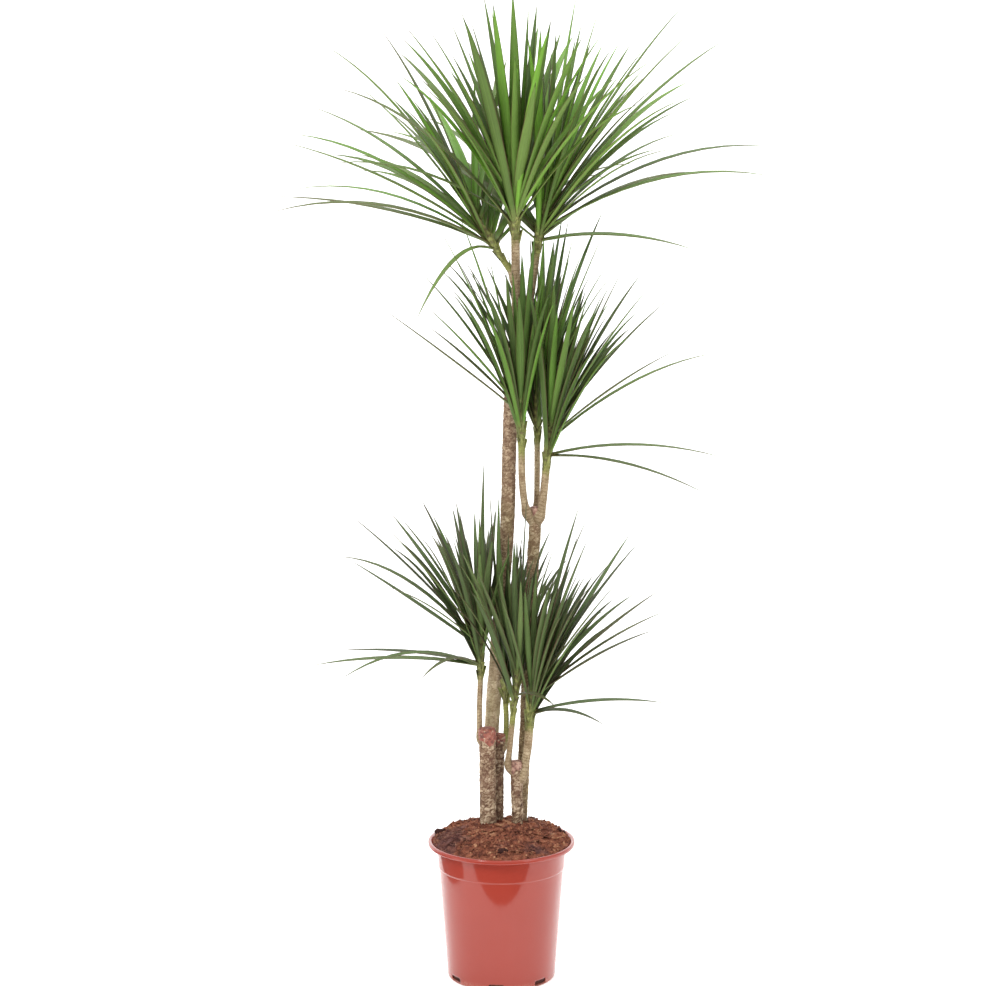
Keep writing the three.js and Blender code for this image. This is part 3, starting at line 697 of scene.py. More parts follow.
def makePot(size, material):
    under = size["height"] - size["lipHeight"]
    groove, step = size["grooveHeight"], size["collarStep"]
    recess, foot = size["recess"], size["baseRadius"] - size["footWidth"]
    corners = [
        (0, 0, 0),
        (size["padRadius"], 0, 1),
        (size["padRadius"] + recess, recess, 1),
        (foot - recess, recess, 1),
        (foot, 0, 1),
        (size["baseRadius"], 0, 5),
        *wallRings(bodyRadius, size["bodyRings"]),
        (bodyRadius(groove), groove, 0.5),
        (bodyRadius(groove) + step, groove + step, 0.8),
        *wallRings(collarRadius, size["collarRings"]),
        (size["collarRadius"], under, 2.5),
        (size["lipRadius"], under, 2.2),
        (size["lipRadius"], size["height"], 3),
        (innerRadius(size["height"]), size["height"], 2.5),
        (innerRadius(size["flareHeight"]), size["flareHeight"], 3),
        (innerRadius(groove), groove, 1),
        *wallRings(innerRadius, size["innerRings"]),
        (innerRadius(size["floor"]), size["floor"], 2),
        (0, size["floor"], 0),
    ]
    bm = bmesh.new()
    spinProfile(bm, roundCorners(corners, size["cornerSteps"]), size["turns"])
    pot = addObject("nurseryPot", bm, [material])
    cutSlots(pot, size)
    placePiece(pot, "pot")


makePot(potSize, makePotFinish(potLook))
print("pot made")


# soil

soilSize = {  # millimetres
    "gap": 0.3, "edgeHeight": 227, "ringWidth": 2.0, "turns": 260, "grainSeed": 11, "fibreSeed": 12,
    "moundHeight": 22, "moundCurve": 2.4, "lump": 2.2, "lumpLength": 19, "lumpCurve": 4,
    "clod": 4.2, "clodLength": 11.0, "crumb": 1.6, "crumbLength": 4.0,
    "crest": 4.5,  # how far the soil at the back is heaped up against the rim
    "crestBack": (0.1, 0.6), "crestRim": (0.1, 0.3),  # where it starts, as shares of the radius
    "smoothRim": 0.05,
    "tint": 0.45, "tintSpread": 0.5, "tintLength": 7,
    "darkClods": [  # right, back and radius
        (-103, 26, 6.5), (-96, 33, 5.5), (102, 22, 6.0), (95, 30, 5.0), (0, -92, 6.5), (6, -90, 5.0),
    ],
    "clodTint": -0.25,
    "grains": 1500, "grainMargin": 2, "grainSize": (1.1, 3.4), "grainCurve": 2.2, "grainTint": (0.12, 1.0),
    "grainWidth": (0.5, 1.4), "grainDepth": (0.5, 1.0), "grainRough": (0.7, 1.3), "grainLift": 0.3,
    "fibres": 260, "fibreMargin": 8, "fibreLength": (7, 20), "fibreRadii": (0.45, 0.25),
    "fibreTilt": (-0.25, 0.25), "fibreLift": 0.8, "fibreTint": (0.35, 1.0),
}


def soilEdge():
    return innerRadius(soilSize["edgeHeight"]) - soilSize["gap"] * 2


def soilHeight(x, y):
    size = soilSize
    edge = soilEdge()
    share = min(1.0, math.hypot(x, y) / edge)
    mound = size["moundHeight"] * (1 - share ** size["moundCurve"])
    lumps = size["lump"] * math.sin(x / size["lumpLength"]) * math.cos(y / size["lumpLength"] + 1)
    height = size["edgeHeight"] + mound + lumps * (1 - share ** size["lumpCurve"])
    clod = noise.noise(Vector((x, y, 0)) / size["clodLength"]) * size["clod"]
    crumb = noise.noise(Vector((x, y, 50)) / size["crumbLength"]) * size["crumb"]
    crest = size["crest"] * softStep(y / edge, *size["crestBack"])
    crest *= 1 - softStep(1 - share, *size["crestRim"])
    return height + (clod + crumb + crest) * softStep(1 - share, 0.0, size["smoothRim"])


def onSoil(x, y, lift):
    return Vector((x, y, soilHeight(x, y) + lift)) * mm


def scatter(dice, margin):
    # an even draw over the soil, clear of its edge by the margin
    angle = dice.random() * math.tau
    out = (soilEdge() - margin) * math.sqrt(dice.random())
    return out * math.cos(angle), out * math.sin(angle)


def drawBetween(dice, low, high):
    return mixValues(low, high, dice.random())


def repeatShape(bm, count):
    # doubles what is there until it is enough, and gives the vertices of each copy
    size = len(bm.verts)
    while len(bm.verts) < size * count:
        bmesh.ops.duplicate(bm, geom=bm.verts[:] + bm.edges[:] + bm.faces[:])
    bm.verts.ensure_lookup_table()
    spare = bm.verts[size * count:]
    copies = [bm.verts[start:start + size] for start in range(0, size * count, size)]
    bmesh.ops.delete(bm, geom=spare, context="VERTS")
    return copies


def makeMound(size, material):
    edge = soilEdge()
    foot = potSize["floor"] + size["gap"]
    walls = [foot, potSize["grooveHeight"], potSize["flareHeight"]]
    points = [(0, foot)] + [(innerRadius(height) - size["gap"], height) for height in walls]
    rings = int(edge / size["ringWidth"])
    points += [(edge * (1 - ring / rings), size["edgeHeight"]) for ring in range(rings + 1)]
    bm = startMesh("tint")
    tint = bm.verts.layers.float["tint"]
    spinProfile(bm, points, size["turns"])
    top = [vert for vert in bm.verts if abs(vert.co.z - size["edgeHeight"] * mm) < weldGap]
    for vert in top:
        x, y = vert.co.x / mm, vert.co.y / mm
        vert.co.z = soilHeight(x, y) * mm
        cloud = noise.noise(Vector((x, y, 9)) / size["tintLength"])
        vert[tint] = size["tint"] + size["tintSpread"] * cloud
    placePiece(addObject("soilMound", bm, [material]), "soil")


def makeGrains(size, material, dice):
    spots = [(*clod, size["clodTint"]) for clod in size["darkClods"]]
    for _ in range(size["grains"]):
        spot = scatter(dice, size["grainMargin"])
        radius = mixValues(*size["grainSize"], dice.random() ** size["grainCurve"])
        spots.append((*spot, radius, drawBetween(dice, *size["grainTint"])))
    bm = startMesh("tint")
    tint = bm.verts.layers.float["tint"]
    bmesh.ops.create_icosphere(bm, subdivisions=1, radius=mm)
    for (x, y, radius, shade), verts in zip(spots, repeatShape(bm, len(spots))):
        width = drawBetween(dice, *size["grainWidth"])
        stretch = Matrix.Diagonal((1.0, width, drawBetween(dice, *size["grainDepth"])))
        turn = Euler([dice.random() * math.tau for _ in range(3)]).to_matrix() @ stretch
        centre = onSoil(x, y, radius * size["grainLift"])
        for vert in verts:
            vert.co = centre + turn @ vert.co * radius * drawBetween(dice, *size["grainRough"])
            vert[tint] = shade
    placePiece(addObject("soilCrumbs", bm, [material], smooth=False), "soil")


def makeFibres(size, material, dice):
    bm = startMesh("tint")
    tint = bm.verts.layers.float["tint"]
    first, last = size["fibreRadii"]
    bmesh.ops.create_cone(bm, cap_ends=True, segments=4, radius1=first * mm, radius2=last * mm, depth=mm)
    for verts in repeatShape(bm, size["fibres"]):
        spot = scatter(dice, size["fibreMargin"])
        stretch = Matrix.Diagonal((1, 1, drawBetween(dice, *size["fibreLength"])))
        lean = math.pi / 2 + drawBetween(dice, *size["fibreTilt"])
        tilt = Euler((lean, 0, dice.random() * math.tau)).to_matrix()
        centre = onSoil(*spot, size["fibreLift"])
        shade = drawBetween(dice, *size["fibreTint"])
        for vert in verts:
            vert.co = centre + tilt @ stretch @ vert.co
            vert[tint] = shade
    placePiece(addObject("soilFibres", bm, [material], smooth=False), "soil")


soilFinish = makeFinish("pottingSoil", soilLook, blend=dampSoil)
makeMound(soilSize, soilFinish)
makeGrains(soilSize, soilFinish, random.Random(soilSize["grainSeed"]))
makeFibres(soilSize, soilFinish, random.Random(soilSize["fibreSeed"]))
print("soil made")


# canes and their shoots

caneShape = {  # millimetres
    "sides": 48, "row": 1.5, "curveSteps": 40,
    "scaleSize": 6.5,  # width of one scale of the bark
    "flatness": 1.35,  # how much lower than wide it is
    "warp": 3.0, "warpLength": 6.0, "ridge": 1.5,
    "crack": 0.2, "crackLevel": 0.3,
    "clouds": [(13, 0.9), (2.2, 0.6)],  # length and strength of the patches and the crumbs
    "shares": (0.35, 0.4, 0.45),  # of a scale's own tint, the patches and the crumbs
    "middle": 0.46, "mossLength": 60, "swellLength": 45, "swell": 0.7,
    # how marked the bark is, and the shares of green and of paler bark on a cane's lower part
    "marks": {"tall": (0.85, 0.18, 0.36), "medium": (0.95, 0.18, 0.0)}, "usualMarks": (1.25, 0.0, 0.0),
    "mossTop": (620, 740), "paleTop": (400, 520),  # they thin out between these lengths along it
}

shootShape = {  # millimetres
    "sides": 22, "row": 1.15,
    "ring": 5.6, "ringWidth": 0.32, "ringDepth": 0.45,  # the scars that old leaves left
    "lean": 1.6, "leanLength": 18, "stray": 2.2, "strayLength": 9,  # how a ring tilts and strays
    "roughLength": 2.5, "patchLength": 14,
    "flare": 0.5, "flareLength": 11.0, "knobPlace": 0.18,
    "olive": 0.16,  # share of green in the dry part
    "greenLean": 0.06, "greenFade": 0.08,
}


def smoothPath(points, step):
    # a centripetal curve through the points, at even steps
    points = np.array(points, float)
    ends = np.vstack((2 * points[0] - points[1], points, 2 * points[-1] - points[-2]))
    share = np.linspace(0, 1, caneShape["curveSteps"], endpoint=False)[:, None]
    fine = []
    for before, start, end, after in zip(ends, ends[1:], ends[2:], ends[3:]):
        gaps = (start - before, end - start, after - end)
        first, middle, last = (math.sqrt(np.linalg.norm(gap)) for gap in gaps)
        ahead = (end - start) / middle
        leave = ((start - before) / first - (end - before) / (first + middle) + ahead) * middle
        arrive = (ahead - (after - start) / (middle + last) + (after - end) / last) * middle
        bend = 3 * (end - start) - 2 * leave - arrive
        settle = 2 * (start - end) + leave + arrive
        fine.append(start + leave * share + bend * share ** 2 + settle * share ** 3)
    fine = np.vstack(fine + [points[-1:]])
    run = np.concatenate(([0], np.cumsum(np.linalg.norm(np.diff(fine, axis=0), axis=1))))
    even = np.linspace(0, run[-1], max(3, round(run[-1] / step)) + 1)
    return np.stack([np.interp(even, run, fine[:, axis]) for axis in range(3)], 1), even


def carryFrames(centres):
    # two directions across the path that turn with it as little as possible
    tangents = np.gradient(centres, axis=0)
    tangents /= np.linalg.norm(tangents, axis=1)[:, None]
    across = np.cross((0, 1, 0), tangents[0])
    frames = []
    for tangent in tangents:
        across = across - tangent * np.dot(across, tangent)
        across /= np.linalg.norm(across)
        frames.append((across.copy(), np.cross(tangent, across)))
    return frames


def addTube(bm, centres, sides, surface):
    # surface gives the radius, relief and fresh share for a row and an angle
    relief = bm.verts.layers.float["relief"]
    fresh = bm.verts.layers.float["fresh"]
    rows = len(centres) - 1
    frames = carryFrames(centres)
    made = bmesh.ops.create_grid(bm, x_segments=sides, y_segments=rows, size=1)["verts"]
    for vert in made:
        column = round((vert.co.x + 1) / 2 * sides) % sides
        row = round((vert.co.y + 1) / 2 * rows)
        angle = column / sides * math.tau
        radius, vert[relief], vert[fresh] = surface(row, angle)
        across, over = frames[row]
        vert.co = (centres[row] + (across * math.cos(angle) + over * math.sin(angle)) * radius) * mm
    bmesh.ops.remove_doubles(bm, verts=made, dist=weldGap)
    bmesh.ops.holes_fill(bm, edges=[edge for edge in bm.edges if edge.is_boundary], sides=0)


def barkScales(angle, run, radius, seed):
    # rough scales between cracks, 0 in the cracks and up to 1 on the palest scales
    shape = caneShape
    height = run * shape["flatness"] + seed * 100
    spot = Vector((math.cos(angle) * radius, math.sin(angle) * radius, height))
    warp = noise.noise_vector(spot / shape["warpLength"]) * shape["warp"]
    distances, centres = noise.voronoi((spot + warp) / shape["scaleSize"])
    crack = softStep(distances[1] - distances[0], 0.0, shape["crack"])
    levels = [0.5 + 0.5 * math.sin(centres[0].dot(Vector((12.9, 78.2, 37.7))))]
    levels += [0.5 + strength * noise.noise(spot / length) for length, strength in shape["clouds"]]
    level = sum(share * part for share, part in zip(shape["shares"], levels))
    return min(1.0, max(0.0, mixValues(shape["crackLevel"], 1, crack) * level))


def addCane(bm, name, seed):
    shape = caneShape
    cane = caneData[name]
    centres, runs = smoothPath(cane["path"], shape["row"])
    radius = cane["radius"]
    contrast, moss, pale = shape["marks"].get(name, shape["usualMarks"])

    def surface(row, angle):
        run = runs[row]
        relief = mixValues(shape["middle"], barkScales(angle, run, radius, seed), contrast)
        relief += pale * (1 - softStep(run, *shape["paleTop"]))
        stretch = ringNoise(angle, 1, run / shape["mossLength"] + seed)
        swell = ringNoise(angle, 1, run / shape["swellLength"] + seed * 5) * shape["swell"]
        green = moss * (1 + stretch) * (1 - softStep(run, *shape["mossTop"]))
        return radius + swell + (relief - 0.5) * shape["ridge"], relief, green

    addTube(bm, centres, shape["sides"], surface)


def addShoot(bm, shoot, seed):
    shape = shootShape
    radius, greenFrom, path = shoot
    centres, runs = smoothPath(path, shape["row"])
    length = runs[-1]
    knob = length * shape["knobPlace"]
    fade = shape["greenFade"]

    def surface(row, angle):
        run = runs[row]
        lean = ringNoise(angle, 2, run / shape["leanLength"] + seed * 7)
        stray = noise.noise(Vector((run / shape["strayLength"], seed, 0)))
        place = (run + lean * shape["lean"] + stray * shape["stray"]) / shape["ring"]
        groove = max(0.0, 1 - abs(place % 1 - 0.5) * 2 / shape["ringWidth"])
        rough = 0.5 + 0.5 * ringNoise(angle, 3, run / shape["roughLength"] + seed)
        patch = 0.5 + 0.8 * ringNoise(angle, 1, run / shape["patchLength"] + seed * 3)
        relief = min(1.0, (1 - 0.5 * groove) * (0.2 + 0.4 * rough + 0.45 * patch))
        flare = 1 + shape["flare"] * math.exp(-((run - knob) / shape["flareLength"]) ** 2)
        green = softStep(run / length + lean * shape["greenLean"], greenFrom - fade, greenFrom + fade)
        return radius * flare - groove * shape["ringDepth"], relief, mixValues(shape["olive"], 1, green)

    addTube(bm, centres, shape["sides"], surface)


def makeCanes(material):
    for number, (name, cane) in enumerate(caneData.items()):
        bm = startMesh("relief", "fresh")
        addCane(bm, name, number + 1)
        for place, shoot in enumerate(cane["shoots"]):
            addShoot(bm, shoot, number * 3 + place + 10)
        placePiece(addObject("cane_" + name + "_bark", bm, [material]), "cane_" + name)


makeCanes(makeFinish("caneBark", barkLook, blend=freshBark))
print("canes made")


# sealing wax on the cut ends

waxShape = {  # millimetres
    "fresh": ("short_left", "short_back"),  # the others are worn
    "skirts": {"short_left": 18},  # the others have the usual one
    "skirt": 11, "skirtRows": 6, "thickness": 1.5, "dome": 3, "gap": -0.7, "roof": 0.3,
    "turns": 72, "cornerSteps": 3,
    "drip": 8, "unevenness": 3, "ripple": 1.5, "rippleLength": 4,
}


def waxProfile(shape, hollow, outer, skirt):
    # out over the dome, down the skirt and back inside
    dome, roof, rows = shape["dome"], shape["roof"], shape["skirtRows"]
    walls = [(outer, -skirt * row / rows, 0) for row in range(1, rows)]
    return [
        (0, dome, 0), (outer * 0.5, dome * 0.9, 2), (outer * 0.86, dome * 0.6, 2), (outer, -1, 2),
        *walls, (outer - 0.3, -skirt, 0.5), (hollow, -skirt, 0.3), (hollow, roof, 0), (0, roof, 0),
    ]


def makeWax(shape, materials):
    for number, (name, cane) in enumerate(caneData.items()):
        hollow = cane["radius"] + shape["gap"]
        skirt = shape["skirts"].get(name, shape["skirt"])
        outer = hollow + shape["thickness"]
        bm = bmesh.new()
        corners = waxProfile(shape, hollow, outer, skirt)
        spinProfile(bm, roundCorners(corners, shape["cornerSteps"]), shape["turns"])
        for vert in bm.verts:
            angle = math.atan2(vert.co.y, vert.co.x)
            depth = softStep(-vert.co.z / mm, 1, skirt)
            run = max(0.0, math.sin(angle * 2 + cane["radius"])) * shape["drip"]
            run += ringNoise(angle, 3, number * 9) * shape["unevenness"]
            vert.co.z -= run * depth * mm
            if vert.co.to_2d().length > (hollow + 0.2) * mm:
                spot = vert.co / mm / shape["rippleLength"] + Vector((number * 20, 0, 0))
                push = 1 + noise.noise(spot) * shape["ripple"] / outer
                vert.co.x *= push
                vert.co.y *= push
        centres = smoothPath(cane["path"], 2)[0]
        direction = Vector(centres[-1] - centres[-2]).normalized()
        turn = direction.to_track_quat("Z", "Y").to_matrix().to_4x4()
        bmesh.ops.transform(bm, matrix=Matrix.Translation(Vector(centres[-1]) * mm) @ turn, verts=bm.verts)
        state = "fresh" if name in shape["fresh"] else "worn"
        cap = addObject("wax_" + name + "_cap", bm, [materials[state]])
        placePiece(cap, "wax_" + name)


waxStates = ("fresh", "worn")
makeWax(waxShape, {state: makeFinish("sealingWax_" + state, waxLook, state) for state in waxStates})
print("wax made")


# where the leaves grow

growth = {
    "turn": 137.5, "turnSpread": 26, "headTurn": 40, "highest": 84, "riseSpread": 12,
    "riseCurve": 0.75, "shortest": 0.78, "thinnest": 0.84, "widthSpread": 0.2, "roll": 22,
    "archLow": 0.11, "archHigh": 0.03, "rootLow": 12, "rootHigh": 74, "rootRing": 0.5, "placedRoot": 0.8,
    "tries": 28, "shift": 13, "tryDraws": 101, "tryTurn": 14, "tryShorter": 0.006,
    "spare": 0.6, "fineSpare": 0.1, "stemSpare": 1.5,
    "frontRise": 74,  # leaves towards the front stand up at least this much
    "face": 24,  # degrees that a leaf to either side turns its face to the front
    "placedFace": 12,
    "fineWidth": 0.68,
    "rows": 3, "shoulder": 0.4, "rootWidth": 0.25, "keel": 1.9, "coreLength": 84, "coreSwell": 1.1,
    "drawWeights": (127.1, 311.7, 74.7), "drawScale": 43758.5453,
}

upward = np.array((0.0, 0.0, 1.0))
stemOwner = -1

# columns of a row, which holds one straight length of a blade or a stem
rowStart, rowEnd, rowMiddle, rowSide = slice(0, 3), slice(3, 6), slice(6, 9), slice(10, 13)
rowSize, rowHalf, rowThick, rowOwner, rowNumber = 9, 13, 14, 15, 16


def drawShare(head, leaf, use):
    headWeight, leafWeight, useWeight = growth["drawWeights"]
    value = math.sin(head["number"] * headWeight + leaf * leafWeight + use * useWeight) * growth["drawScale"]
    return value - math.floor(value)


def drawSpread(head, leaf, use):
    return drawShare(head, leaf, use) - 0.5


def findShoots():
    # gives each head its name and number, and the end, direction and radius of its shoot
    for number, (name, head) in enumerate(headData.items()):
        cane, index = head["shoot"]
        radius, _, path = caneData[cane]["shoots"][index]
        before, place = np.array(path[-2:], float)
        direction = (place - before) / np.linalg.norm(place - before)
        head.update(name=name, number=number, place=place, direction=direction, radius=radius, grown=[])


def turnAbout(vector, axis, angle):
    turned = vector * math.cos(angle) + np.cross(axis, vector) * math.sin(angle)
    return turned + axis * np.dot(axis, vector) * (1 - math.cos(angle))


def leafTo(head, rootHeight, reach, arch, width, face, roll):
    flat = np.array((reach[0], reach[1], 0.0))
    outward = flat / np.linalg.norm(flat)
    root = head["place"] + head["direction"] * rootHeight + outward * head["radius"] * growth["rootRing"]
    tip = head["place"] + reach
    chord = tip - root
    length = np.linalg.norm(chord)
    bend = root + chord * 0.5 + upward * (arch * 2 * length)
    side = turnAbout(np.cross(upward, outward), chord / length, math.radians(roll + face * outward[0]))
    return {"root": root, "bend": bend, "tip": tip, "side": side, "width": width, "fine": False}


def pointOn(leaf, along):
    return (leaf["root"] * (1 - along) ** 2 + leaf["bend"] * 2 * along * (1 - along)
            + leaf["tip"] * along ** 2)


def tangentOn(leaf, along):
    tangent = (leaf["bend"] - leaf["root"]) * (1 - along) + (leaf["tip"] - leaf["bend"]) * along
    return tangent / np.linalg.norm(tangent)


def placedLeaf(head, index, attempt):
    right, back, rise, arch = head["placed"][index]
    step = math.ceil(attempt / 2) * (1 if attempt % 2 else -1)
    reach = np.array((right, back + step * growth["shift"], rise), float)
    share = min(max(rise / np.linalg.norm(reach), 0), 1)
    low, high = growth["rootLow"], growth["rootHigh"]
    rootHeight = low + (high - low) * share * growth["placedRoot"]
    return leafTo(head, rootHeight, reach, arch, head["width"], growth["placedFace"], 0)


def ruleLeaf(head, index, attempt):
    leaf = index + attempt * growth["tryDraws"]
    age = index / (head["leaves"] - 1)
    turn = index * growth["turn"] + head["number"] * growth["headTurn"]
    turn += drawSpread(head, leaf, 1) * (growth["turnSpread"] + attempt * growth["tryTurn"])
    rise = mixValues(head["lowest"], growth["highest"], age ** growth["riseCurve"])
    rise += drawSpread(head, leaf, 2) * growth["riseSpread"]
    share = mixValues(growth["shortest"], 1, drawShare(head, leaf, 3))
    length = head["length"] * share * (1 - attempt * growth["tryShorter"])
    azimuth = math.radians(turn)
    slope = math.radians(max(rise, growth["frontRise"] * -math.sin(azimuth)))
    reach = np.array((math.cos(azimuth) * math.cos(slope), math.sin(azimuth) * math.cos(slope),
                      math.sin(slope))) * length
    arch = mixValues(growth["archLow"], growth["archHigh"], age)
    rootHeight = mixValues(growth["rootLow"], growth["rootHigh"], age)
    width = head["width"] * (growth["thinnest"] + growth["widthSpread"] * drawShare(head, leaf, 4))
    roll = drawSpread(head, leaf, 5) * 2 * growth["roll"]
    return leafTo(head, rootHeight, reach, arch, width, growth["face"], roll)


def fineLeaf(head, index, attempt):
    leaf = ruleLeaf(head, index, attempt)
    leaf["width"] *= growth["fineWidth"]
    leaf["fine"] = True
    return leaf


def outlineShare(along, rootWidth):
    shoulder = growth["shoulder"]
    if along < shoulder:
        return rootWidth + (1 - rootWidth) * math.sin(along / shoulder * math.pi / 2)
    return 1 - ((along - shoulder) / (1 - shoulder)) ** 2


def lengthRow(start, end, side, half, thick, owner, row):
    # start, end, middle, size, side, half width, half thickness, owner and number in one line
    size = np.linalg.norm(end - start) / 2 + half + thick
    return np.concatenate((start, end, (start + end) / 2, (size,), side, (half, thick, owner, row)))


def bladeRows(leaf, owner):
    rows = []
    for row in range(growth["rows"]):
        low, high = row / growth["rows"], (row + 1) / growth["rows"]
        widest = 1 if low < growth["shoulder"] < high else 0
        half = max(outlineShare(low, growth["rootWidth"]), outlineShare(high, growth["rootWidth"]),
                   widest) * leaf["width"] / 2
        rows.append(lengthRow(pointOn(leaf, low), pointOn(leaf, high), leaf["side"], half,
                              growth["keel"] / 2, owner, row))
    return rows


def stemRows(points, thick, owner):
    points = np.array(points, float)
    return [lengthRow(start, end, np.zeros(3), 0, thick, owner, 0) for start, end in zip(points, points[1:])]


def areApart(one, others, spare):
    # true where the straight length one stays clear of each of the others
    along = one[rowEnd] - one[rowStart]
    across = others[:, rowEnd] - others[:, rowStart]
    between = one[rowStart] - others[:, rowStart]
    a, e = along @ along, (across * across).sum(1)
    b, c, f = across @ along, between @ along, (across * between).sum(1)
    spread = a * e - b * b
    safe = np.where(spread > 1e-6, spread, 1)
    s = np.where(spread > 1e-6, np.clip((b * f - c * e) / safe, 0, 1), 0)
    t = (b * s + f) / e
    s = np.where(t < 0, np.clip(-c / a, 0, 1), np.where(t > 1, np.clip((b - c) / a, 0, 1), s))
    t = np.clip(t, 0, 1)
    normal = between + along * s[:, None] - across * t[:, None]
    distance = np.linalg.norm(normal, axis=1)
    normal = normal / np.where(distance > 0, distance, 1)[:, None]
    reach = np.abs(normal @ one[rowSide]) * one[rowHalf] + one[rowThick]
    reaches = np.abs((normal * others[:, rowSide]).sum(1)) * others[:, rowHalf] + others[:, rowThick]
    return distance > reach + reaches + spare


def isClear(rows, owner, taken, spare):
    for one in rows:
        away = np.linalg.norm(taken[:, rowMiddle] - one[rowMiddle], axis=1)
        isRoot = (taken[:, rowNumber] == 0) | (one[rowNumber] == 0)
        growTogether = (taken[:, rowOwner] == owner) & isRoot
        others = taken[(away < taken[:, rowSize] + one[rowSize] + spare) & ~growTogether]
        if len(others) and not areApart(one, others, spare).all():
            return False
    return True


def growLeaf(head, makeLeaf, index, taken, spare):
    # tries places until the leaf is clear of all others, or leaves it out, and gives what is taken
    for attempt in range(growth["tries"]):
        leaf = makeLeaf(head, index, attempt)
        rows = bladeRows(leaf, head["number"])
        if isClear(rows, head["number"], taken, spare):
            head["grown"].append(leaf)
            return np.vstack((taken, rows))
    return taken


def growLeaves():
    heads = list(headData.values())
    rows = []
    for cane in caneData.values():
        stems = [(cane["radius"], cane["path"])] + [(shoot[0], shoot[2]) for shoot in cane["shoots"]]
        for radius, path in stems:
            rows += stemRows(path, radius + growth["stemSpare"], stemOwner)
    for head in heads:
        top = head["place"] + head["direction"] * growth["coreLength"]
        rows += stemRows([head["place"], top], head["radius"] * growth["coreSwell"], head["number"])
    taken = np.array(rows)
    for head in heads:
        for index in range(len(head["placed"])):
            taken = growLeaf(head, placedLeaf, index, taken, growth["spare"])
    for index in range(max(head["leaves"] for head in heads)):
        for head in heads:
            count = head["leaves"] - len(head["placed"])
            if index < count:
                spread = math.floor(index * (head["leaves"] - 1) / (count - 1) + 0.5)
                taken = growLeaf(head, ruleLeaf, spread, taken, growth["spare"])
    print("leaves as in the solids", {head["name"]: len(head["grown"]) for head in heads})
    for index in range(max(head["finer"] for head in heads)):
        for head in heads:
            if index < head["finer"]:
                spread = (index + 0.5) / head["finer"] * (head["leaves"] - 1)
                taken = growLeaf(head, fineLeaf, spread, taken, growth["fineSpare"])
    print("leaves with the finer ones", {head["name"]: len(head["grown"]) for head in heads})


# leaf blades and the green stems that they grow from

bladeShape = {
    "across": 4, "along": 11, "rootWidth": 0.55,
    "taper": 1.6,  # 1 narrows evenly to the tip, 2 stays wide for longer
    "channel": 0.2, "rootChannel": 0.42,  # depth of the fold as a share of the width
    "channelFrom": (0.02, 0.22), "channelCurve": 1.3,
    "narrowest": {"top": 0.72, "middle": 0.66, "low": 0.66},  # share of the solid blade's width
    "upright": (0.7, 0.96), "young": 0.8,  # the upright leaves are young and less dull
    "twist": 16.0, "twistFrom": 0.3,  # degrees from root to tip, and where there is no twist
    "sway": 0.012,  # sideways bend as a share of the length
    "thickness": 0.6,  # millimetres
}

sheathShape = {
    "sides": 24, "rows": 60, "swellPlaces": (0, 0.3, 0.7, 1), "tipRadius": 2.6,
    "winds": 7, "headTurn": 0.3,  # overlapping leaf bases wind up the stem
    "inner": 0.93, "step": 0.09,
}

stubShape = {  # millimetres, old leaf bases that still clasp the stem
    "count": 16, "low": -16, "high": 26, "length": (9, 24), "width": 0.62, "flat": 0.22, "inset": 0.92,
    "lean": (6, 20),  # degrees away from the stem
}


def bladeWidth(along, shape):
    shoulder = growth["shoulder"]
    if along < shoulder:
        return outlineShare(along, shape["rootWidth"])
    return 1 - ((along - shoulder) / (1 - shoulder)) ** shape["taper"]


def addBlade(bm, leaf, shape, width, shade, tone, twist, sway):
    layout = bm.loops.layers.uv["leafMap"]
    shadeLayer = bm.verts.layers.float["shade"]
    toneLayer = bm.verts.layers.float["tone"]
    columns, rows = shape["across"], shape["along"]
    made = bmesh.ops.create_grid(bm, x_segments=columns, y_segments=rows, size=1)["verts"]
    place = {vert: ((vert.co.x + 1) / 2, (vert.co.y + 1) / 2) for vert in made}
    for face in {face for vert in made for face in vert.link_faces}:
        for loop in face.loops:
            loop[layout].uv = place[loop.vert]
    length = np.linalg.norm(leaf["tip"] - leaf["root"])
    for vert in made:
        across, along = place[vert][0] * 2 - 1, place[vert][1]
        half = bladeWidth(along, shape) * width / 2
        tangent = tangentOn(leaf, along)
        side = turnAbout(leaf["side"], tangent, math.radians(twist) * (along - shape["twistFrom"]))
        fold = mixValues(shape["rootChannel"], shape["channel"], softStep(along, *shape["channelFrom"]))
        depth = half * 2 * fold * (1 - abs(across) ** shape["channelCurve"])
        drift = sway * length * math.sin(math.pi * along)
        point = pointOn(leaf, along) - side * (across * half + drift) + np.cross(side, tangent) * depth
        vert.co = point * mm
        vert[shadeLayer] = shade
        vert[toneLayer] = tone
    bmesh.ops.remove_doubles(bm, verts=made, dist=weldGap)


def makeBlades(head, shape, materials):
    tier = head["name"].split("_")[0]
    bm = startMesh("shade", "tone")
    bm.loops.layers.uv.new("leafMap")
    for number, leaf in enumerate(head["grown"]):
        shade = drawShare(head, number, 6)
        twist = drawSpread(head, number, 7) * 2 * shape["twist"]
        sway = drawSpread(head, number, 8) * 2 * shape["sway"]
        upright = softStep(tangentOn(leaf, 0.5)[2], *shape["upright"])
        tone = drawShare(head, number, 9) ** 2 * (1 - shape["young"] * upright)
        narrowest = 1.0 if leaf["fine"] else shape["narrowest"][tier]
        width = leaf["width"] * mixValues(narrowest, 1.0, drawShare(head, number, 10))
        addBlade(bm, leaf, shape, width, shade, tone, twist, sway)
    blades = addObject(head["name"] + "_blades", bm, materials)
    wall = blades.modifiers.new("leafThickness", "SOLIDIFY")
    wall.thickness = shape["thickness"] * mm
    wall.offset = -1
    wall.material_offset = 1
    wall.use_even_offset = False
    return blades


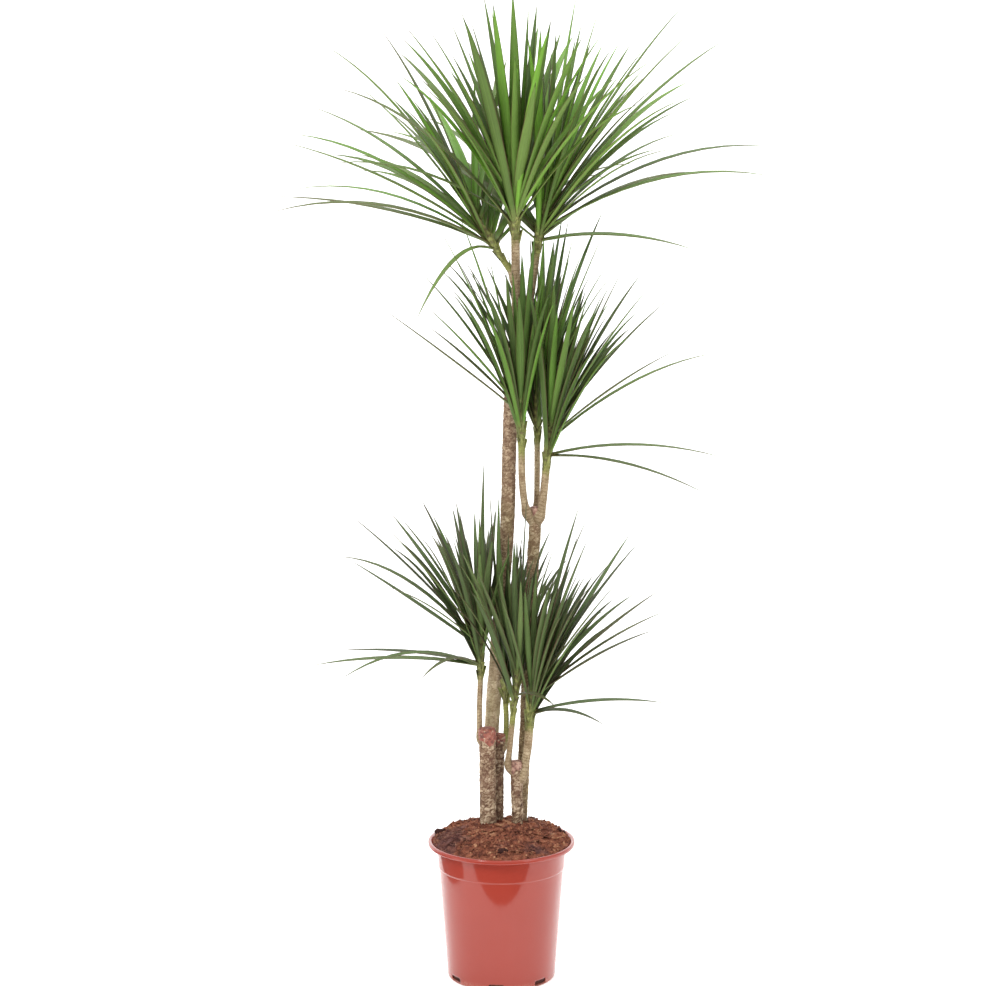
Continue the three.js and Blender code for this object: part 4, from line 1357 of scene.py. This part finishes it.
def makeSheath(head, shape, material):
    shares = np.linspace(0, 1, shape["rows"] + 1)
    centres = head["place"] + head["direction"] * (shares * growth["coreLength"])[:, None]
    radius = head["radius"]
    swell = (radius, radius * growth["coreSwell"], radius, shape["tipRadius"])
    radii = np.interp(shares, shape["swellPlaces"], swell)
    bm = startMesh("relief", "fresh")

    def surface(row, angle):
        turn = angle / math.tau + shares[row] * shape["winds"] + head["number"] * shape["headTurn"]
        step = abs(turn % 1 - 0.5) * 2
        return radii[row] * (shape["inner"] + shape["step"] * step), step, 1.0

    addTube(bm, centres, shape["sides"], surface)
    return addObject(head["name"] + "_stemTip", bm, [material])


def makeStubs(head, shape, material):
    upright = Vector(head["direction"]).to_track_quat("Z", "Y").to_matrix()
    radius = head["radius"]
    width = radius * shape["width"]
    bm = startMesh("relief")
    relief = bm.verts.layers.float["relief"]
    bmesh.ops.create_cone(bm, cap_ends=True, segments=6, radius1=1.0, radius2=0.08, depth=1.0)
    bmesh.ops.translate(bm, verts=bm.verts, vec=(0, 0, 0.5))
    for number, verts in enumerate(repeatShape(bm, shape["count"])):
        draws = [drawShare(head, number, use) for use in (11, 12, 13)]
        angle = math.radians(number * growth["turn"] + draws[1] * growth["turnSpread"])
        lean = Matrix.Rotation(math.radians(mixValues(*shape["lean"], draws[2])), 3, "Y")
        turn = upright @ Matrix.Rotation(angle, 3, "Z")
        stretch = Matrix.Diagonal((width * shape["flat"], width, mixValues(*shape["length"], draws[0])))
        height = mixValues(shape["low"], shape["high"], number / (shape["count"] - 1))
        side = turn @ Vector((radius * shape["inset"], 0, height))
        for vert in verts:
            vert.co = (Vector(head["place"]) + side + turn @ lean @ stretch @ vert.co) * mm
            vert[relief] = 0.25 + 0.75 * draws[2]
    return addObject(head["name"] + "_leafBases", bm, [material])


def makeHeads():
    sheathFinish = makeFinish("greenStem", sheathLook)
    finishes = {}
    for tier in leafLooks:
        finishes[tier] = [makeLeafFinish(tier, leafCommon, side) for side in leafCommon["sides"]]
    for name, head in headData.items():
        tier = name.split("_")[0]
        for piece in (makeBlades(head, bladeShape, finishes[tier]),
                      makeSheath(head, sheathShape, sheathFinish),
                      makeStubs(head, stubShape, sheathFinish)):
            placePiece(piece, "leaves_" + name)


findShoots()
growLeaves()
makeHeads()
print("leafy heads made")
